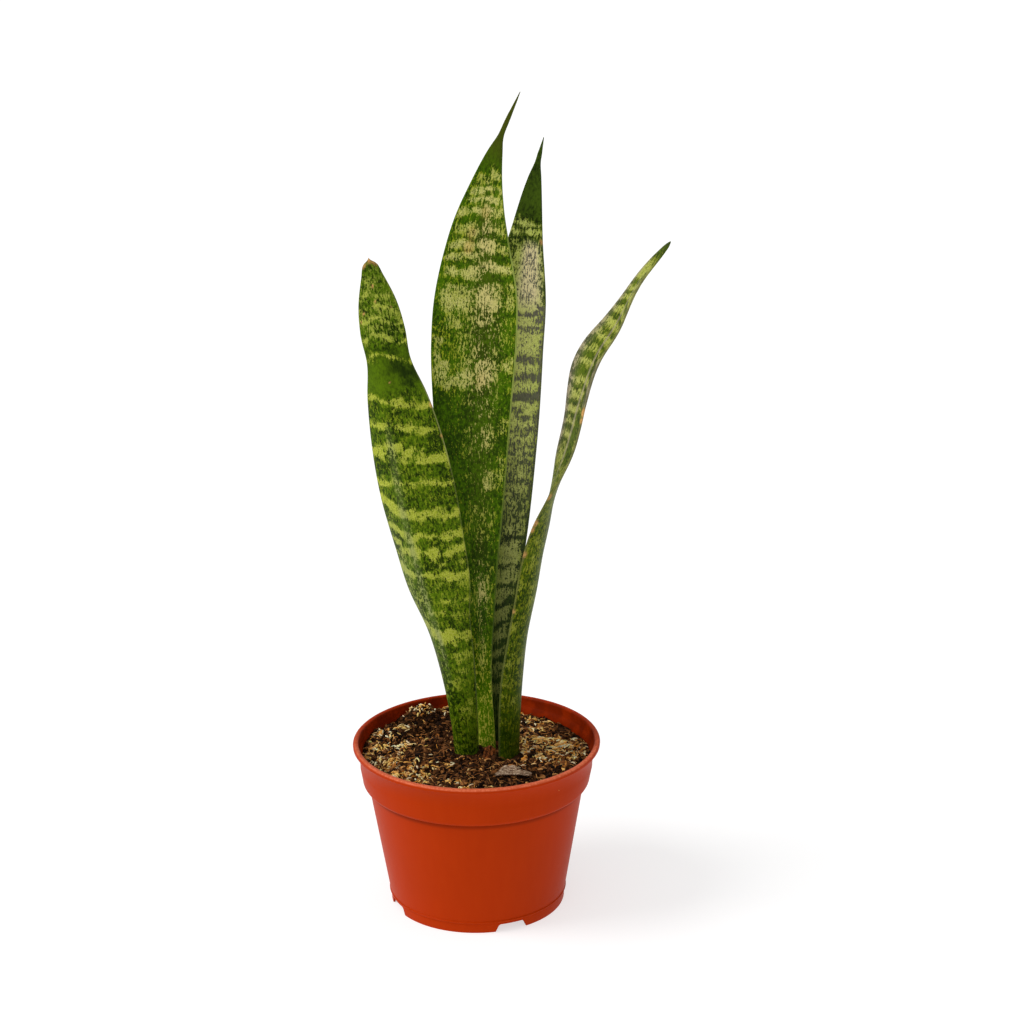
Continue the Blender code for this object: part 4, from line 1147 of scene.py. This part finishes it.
def curls(name, draw, places, lengths, radii, colours, material, headings=None, curl=1.7):
    """One mesh of many thin curled fibres, each a closed tube tapered to its ends."""
    count, rings, sides, rise = len(places), 7, 5, 0.5
    t = np.linspace(-0.5, 0.5, rings)
    bend = draw.uniform(-curl, curl, count)
    heading = draw.uniform(0, 2 * math.pi, count) if headings is None else headings
    direction = heading[:, None] + bend[:, None] * t
    step = np.stack([np.cos(direction), np.sin(direction), np.zeros_like(direction)], -1)
    path = np.cumsum(step, 1) * (lengths / rings)[:, None, None]
    path -= path.mean(1, keepdims=True)
    climb = draw.uniform(-rise, rise, count)[:, None] * t
    climb = climb + draw.uniform(-0.3, 0.9, count)[:, None] * (0.25 - t * t) * 2
    path[:, :, 2] += climb * lengths[:, None] * 0.6
    path += places[:, None]
    path[:, :, 2] = np.maximum(path[:, :, 2], (places[:, 2] - radii)[:, None])
    along = unit(np.gradient(path, axis=1))
    beside = unit(np.cross(along, (0, 0, 1.0)))
    above = np.cross(beside, along)
    taper = np.sqrt(np.clip(1.04 - (2 * t) ** 4, 0.05, 1))
    around = circle(sides)
    ring = (
        beside[:, :, None] * np.cos(around)[None, None, :, None]
        + above[:, :, None] * np.sin(around)[None, None, :, None]
    )
    points = path[:, :, None] + ring * (radii[:, None] * taper)[:, :, None, None]
    per = rings * sides
    one = ring_faces(rings, sides) + [list(range(sides)), [per - 1 - i for i in range(sides)]]
    faces = [[i + n * per for i in face] for n in range(count) for face in one]
    mesh = mesh_from(name, points.reshape(-1, 3), faces)
    tint(mesh, np.repeat(colours, per, 0))
    out_of_round(mesh)
    return piece(name, mesh, material, "potting_mix")


def blend_colours(draw, count, colours, spread=0.15):
    """A random mixture of the colours for each bit, a little lighter or darker."""
    palette = np.array([srgb(*colour) for colour in colours])
    picked = palette[draw.integers(0, len(palette), count)]
    return np.clip(picked * (1 + spread * draw.normal(0, 1, (count, 1))), 0.002, 0.9)


PEAT_BITS = ((22, 10, 3), (42, 22, 9), (70, 40, 18), (112, 70, 36))
DARK_BITS = ((38, 20, 7), (72, 42, 20), (106, 66, 34), (140, 92, 50))
GOLD_BITS = (
    (246, 184, 94), (255, 208, 138), (208, 138, 58), (255, 226, 182), (144, 86, 35),
    (252, 195, 110),
)
CREAM_BITS = ((255, 230, 186), (255, 217, 152), (252, 198, 116), (238, 174, 88))
TAN_BITS = ((168, 110, 58), (130, 80, 40), (204, 146, 84), (102, 60, 26))
PERLITE_BITS = ((236, 230, 214), (224, 214, 190))
SHREDS = (  # x, y, spread, heading in degrees, count, longest: knots of thick pale fibres
    (28, 11, 2.0, 170, 44, 4.2), (37.5, 7, 2.0, 25, 44, 4.6), (28, -9.5, 1.1, 60, 30, 3),
    (21, -6, 1.0, 5, 9, 3.5), (34.5, -1, 2.4, 10, 26, 4), (44, 3, 2.8, 80, 22, 3),
    (-32.5, 25, 2.0, 10, 12, 5), (-37.5, 14, 1.4, 95, 9, 5), (-41, -9, 2.4, 60, 22, 4),
    (-35, -25, 2.6, 130, 20, 5), (-26, 38, 2.8, 90, 34, 3.2), (-13, 44, 2.4, 10, 20, 3),
    (-12, -13, 1.5, 30, 9, 3), (-41, 18, 2.0, 120, 14, 4), (-18, -15, 1.3, 0, 9, 3),
    (-33, 8, 2.4, 150, 16, 4), (-29.5, -11, 0.1, 50, 1, 9), (-24, -22, 2.4, 100, 18, 4),
)


def make_shreds(draw, material):
    """The knots of thick pale fibres, each knot lying mostly one way."""
    knots = np.repeat(np.array(SHREDS, float), [row[4] for row in SHREDS], 0)
    count = len(knots)
    flat = knots[:, :2] + draw.normal(0, 1, (count, 2)) * knots[:, 2:3]
    flat *= np.minimum(1, SHREDS_REACH / np.linalg.norm(flat, axis=1, keepdims=True))
    places = np.array([(x, y, ground_height(x, y) + 0.3 + 0.7 * draw.random()) for x, y in flat])
    headings = np.radians(knots[:, 3]) + draw.normal(0, 0.35, count)
    lengths = knots[:, 5] * draw.uniform(0.45, 1, count)
    radii = draw.uniform(0.22, 0.46, count)
    colours = blend_colours(draw, count, CREAM_BITS, 0.1)
    curls("pale_shreds", draw, places, lengths, radii, colours, material, headings, 0.9)


def grain_sizes(draw, count, size, uneven):
    return draw.uniform(*size, (count, 1)) * draw.uniform(*uneven, (count, 3))


def chip_sizes(draw, count, length, width, thickness):
    """Half sizes of flat chips, their width given as a share of their length."""
    long = draw.uniform(*length, count)
    wide = long * draw.uniform(*width, count)
    return np.column_stack([long, wide, draw.uniform(*thickness, count)])


def make_bits():
    draw = np.random.default_rng(11)
    material = bits_paint("soil_bits")

    def in_tufts(power):
        return lambda x, y: 0.02 + 0.98 * golden(x, y) ** power * tufted(x, y)

    def strew(name, count, spare, wanted, sizes, ranges, colours, spread, form):
        places = scatter(draw, count, spare, wanted)
        sizes = sizes(draw, count, *ranges)
        colours = blend_colours(draw, count, colours, spread)
        lumps(name, draw, places, sizes, colours, *form, material)

    def strew_fibres(name, count, spare, wanted, colours, lengths, radii):
        places = scatter(draw, count, spare, wanted)
        colours = blend_colours(draw, count, colours)
        lengths, radii = draw.uniform(*lengths, count), draw.uniform(*radii, count)
        curls(name, draw, places, lengths, radii, colours, material)

    # The last numbers are how finely a lump is divided, its tilt, raggedness and lift
    strew(
        "peat_crumbs", 2600, 0.3, lambda x, y: 1.0,
        grain_sizes, ((0.35, 1.25), (0.6, 1.1)), PEAT_BITS, 0.15, (1, 0.6, 0.4, 0.2),
    )
    strew(
        "bark_chips", 620, 1.2, lambda x, y: 0.25 + 0.5 * golden(x, y),
        chip_sizes, ((0.5, 1.8), (0.35, 0.8), (0.25, 0.6)),
        PEAT_BITS + TAN_BITS, 0.15, (2, 0.35, 0.22, 0.5),
    )
    strew(
        "pale_chips", 420, 1.0, in_tufts(1.5),
        chip_sizes, ((0.4, 1.3), (0.3, 0.8), (0.2, 0.5)), GOLD_BITS, 0.15, (2, 0.4, 0.3, 0.6),
    )
    strew_fibres("pale_fibres", 1150, 1.6, in_tufts(1.3), GOLD_BITS, (1.5, 4.8), (0.15, 0.38))
    make_shreds(draw, material)
    strew_fibres(
        "brown_fibres", 2100, 1.4, lambda x, y: 0.9,
        TAN_BITS + DARK_BITS, (2.0, 6.0), (0.12, 0.3),
    )
    strew(
        "perlite_grains", 14, 1.5, lambda x, y: 0.6,
        grain_sizes, ((0.3, 0.6), (0.8, 1.2)), PERLITE_BITS, 0.05, (2, 0.6, 0.16, 0.5),
    )


def shell(name, outer, inner, rows, columns):
    """A closed thin shell between two grids of points."""
    size = rows * columns
    faces = []
    for row in range(rows - 1):
        for column in range(columns - 1):
            a = row * columns + column
            quad = (a, a + 1, a + columns + 1, a + columns)
            faces += [quad, tuple(size + i for i in reversed(quad))]
    border = list(range(columns))
    border += [row * columns + columns - 1 for row in range(1, rows)]
    border += [(rows - 1) * columns + c for c in reversed(range(columns - 1))]
    border += [row * columns for row in reversed(range(1, rows - 1))]
    for a, b in zip(border, border[1:] + border[:1]):
        faces.append((b, a, size + a, size + b))
    return mesh_from(name, np.concatenate([outer, inner]), faces)


def sheet(name, grid, low, point_at, turns, place):
    """A thin closed shell. point_at(side, v, u) gives its points, v from low to 1, u from -1.

    It is turned by each of turns, (degrees, axis), the last one first, and moved to its place.
    """
    matrix = Matrix.Identity(3)
    for degrees, axis in turns:
        matrix = matrix @ Matrix.Rotation(math.radians(degrees), 3, axis)
    rows, columns = grid
    sides = []
    for side in (1, -1):
        points = [
            point_at(side, v, u)
            for v in np.linspace(low, 1, rows)
            for u in np.linspace(-1, 1, columns)
        ]
        sides.append(np.array(points) @ np.array(matrix).T + place)
    return shell(name, *sides, rows, columns)


def scale_point(side, up, across):
    """A point of the dry scale, part of a thin upright tube with a torn top."""
    thin = side * SCALE_THICK / 2 * (1 - 0.45 * abs(across) ** 3) * (1 - 0.4 * up ** 4)
    wrinkle = 0.5 * noise.noise(Vector((across * 3, up * 1.5, 5))) * (0.3 + up)
    radius = SCALE_RADIUS + thin + wrinkle - 0.3 * up ** 3
    around = across * math.radians(SCALE_SPREAD)
    torn = SCALE_TORN * (0.4 * math.sin(5 * across + 1) * up - 2.2 * abs(across) ** 3 * up ** 2)
    torn += 0.6 * noise.noise(Vector((across * 5, up, 1))) * up ** 4
    return radius * math.sin(around), -radius * math.cos(around), up * SCALE_HEIGHT + torn


def make_crown_scale():
    rows, columns = SCALE_GRID
    place = (SCALE_PLACE[0], SCALE_PLACE[1] + SCALE_RADIUS, SCALE_FOOT)
    turns = ((SCALE_TURN, "Z"), (-SCALE_LEAN, "X"))
    mesh = sheet("crown_sheath", SCALE_GRID, 0, scale_point, turns, place)
    edge = mesh.attributes.new("edge", "FLOAT", "POINT")
    across = np.tile(np.linspace(-1, 1, columns), 2 * rows)
    edge.data.foreach_set("value", np.clip((across - 0.8) * 5, 0, 0.8).astype(np.float32))
    tones = ((50, 22, 4), (150, 86, 40), (18, 6, 0))
    paint = fibrous_paint("dry_scale", *tones, (1.0, 1.0, 0.5), 0.45, 0.6)
    piece("crown_sheath", mesh, paint, "dry_scale", "crown_scale")


def flake_point(side, v, u):
    """A point of the flake, which is straight in front and rises to a blunt peak at the back."""
    length, width = FLAKE_SIZE
    fall = (u - FLAKE_PEAK) / (math.copysign(1, u - FLAKE_PEAK) - FLAKE_PEAK)
    share = FLAKE_ENDS + (1 - FLAKE_ENDS) * math.cos(fall * math.pi / 2) ** 2
    back = width * share + FLAKE_RAGGED * math.sin(9 * u + 1)
    ragged = 0.35 * noise.noise(Vector((u * 9, v * 3, 2)))
    arch = FLAKE_ARCH * (1 - u * u) - 0.5 * FLAKE_ARCH * v * v
    layers = 0.45 * noise.noise(Vector((u * 5, v * 7, 9 + side)))
    thick = FLAKE_THICK / 2 * (1 - 0.5 * max(abs(u), abs(v)) ** 6)
    y = -width / 2 + (v + 1) / 2 * back + ragged * abs(v)
    return u * length / 2 + ragged * abs(u), y, arch + layers + side * thick


def make_flake():
    turns = ((FLAKE_TURN, "Z"), (FLAKE_TILT, "X"))
    mesh = sheet("bark_piece", FLAKE_GRID, -1, flake_point, turns, FLAKE_PLACE)
    tones = ((112, 82, 60), (210, 184, 154), (52, 32, 18))
    paint = fibrous_paint("grey_bark", *tones, (0.7, 2.6, 2.6), 0.7, 0.8)
    piece("bark_piece", mesh, paint, "grey_bark", "bark_flake")


# ---- studio


def make_floor():
    mesh = bpy.data.meshes.new("studio_floor")
    corners = [(-1, -1), (1, -1), (1, 1), (-1, 1)]
    points = [(x * FLOOR_HALF, y * FLOOR_HALF, 0) for x, y in corners]
    mesh.from_pydata(points, [], [(0, 1, 2, 3)])
    floor = bpy.data.objects.new("studio_floor", mesh)
    bpy.context.scene.collection.objects.link(floor)
    paint = Paint("floor")
    paint.set(Base_Color=(FLOOR_GREY,) * 3, Roughness=0.9, Specular_IOR_Level=0.0)
    paint.set(Emission_Color=(1.0, 1.0, 1.0), Emission_Strength=FLOOR_GLOW)
    mesh.materials.append(paint.material)


def make_lights():
    studio = bpy.data.worlds.new("studio")
    studio.use_nodes = True
    sky = studio.node_tree.nodes["Background"]
    sky.inputs["Color"].default_value = (1.0, 1.0, 1.0, 1.0)
    sky.inputs["Strength"].default_value = SKY_STRENGTH
    bpy.context.scene.world = studio
    for name, place, strength, angle in SUNS:
        light = bpy.data.lights.new(name, "SUN")
        light.energy = strength
        light.angle = math.radians(angle)
        sun = bpy.data.objects.new(name, light)
        sun.location = place
        sun.rotation_euler = (-Vector(place)).to_track_quat("-Z", "Y").to_euler()
        bpy.context.scene.collection.objects.link(sun)
    bpy.context.scene.view_settings.view_transform = "Standard"


def make_camera():
    yaw, down, roll = (math.radians(angle) for angle in (AIM_YAW, AIM_DOWN, AIM_ROLL))
    level = Vector((math.cos(yaw), -math.sin(yaw), 0.0))
    ahead = Vector((math.sin(yaw), math.cos(yaw), 0.0))
    forward = math.cos(down) * ahead - Vector((0.0, 0.0, math.sin(down)))
    above = level.cross(forward)
    right = math.cos(roll) * level + math.sin(roll) * above
    up = -math.sin(roll) * level + math.cos(roll) * above
    data = bpy.data.cameras.new("camera")
    data.lens = LENS
    data.sensor_width = 36.0
    camera = bpy.data.objects.new("camera", data)
    turned = Matrix((right, up, -forward)).transposed().to_4x4()
    camera.matrix_world = Matrix.Translation(AXIS + Vector(EYE) * MM) @ turned
    bpy.context.scene.collection.objects.link(camera)
    bpy.context.scene.camera = camera


make_camera()
make_lights()
make_floor()
make_pot()
make_soil()
make_bits()
for leaf_name in LEAVES:
    make_leaf(leaf_name)
make_crown_scale()
make_flake()

rhizome = frame["nodes"]["rhizome"]
rhizome.data.materials.clear()
rhizome.data.materials.append(
    fibrous_paint("rhizome", (190, 150, 96), (214, 178, 124), (140, 98, 56), (0.4, 0.4, 0.4))
)
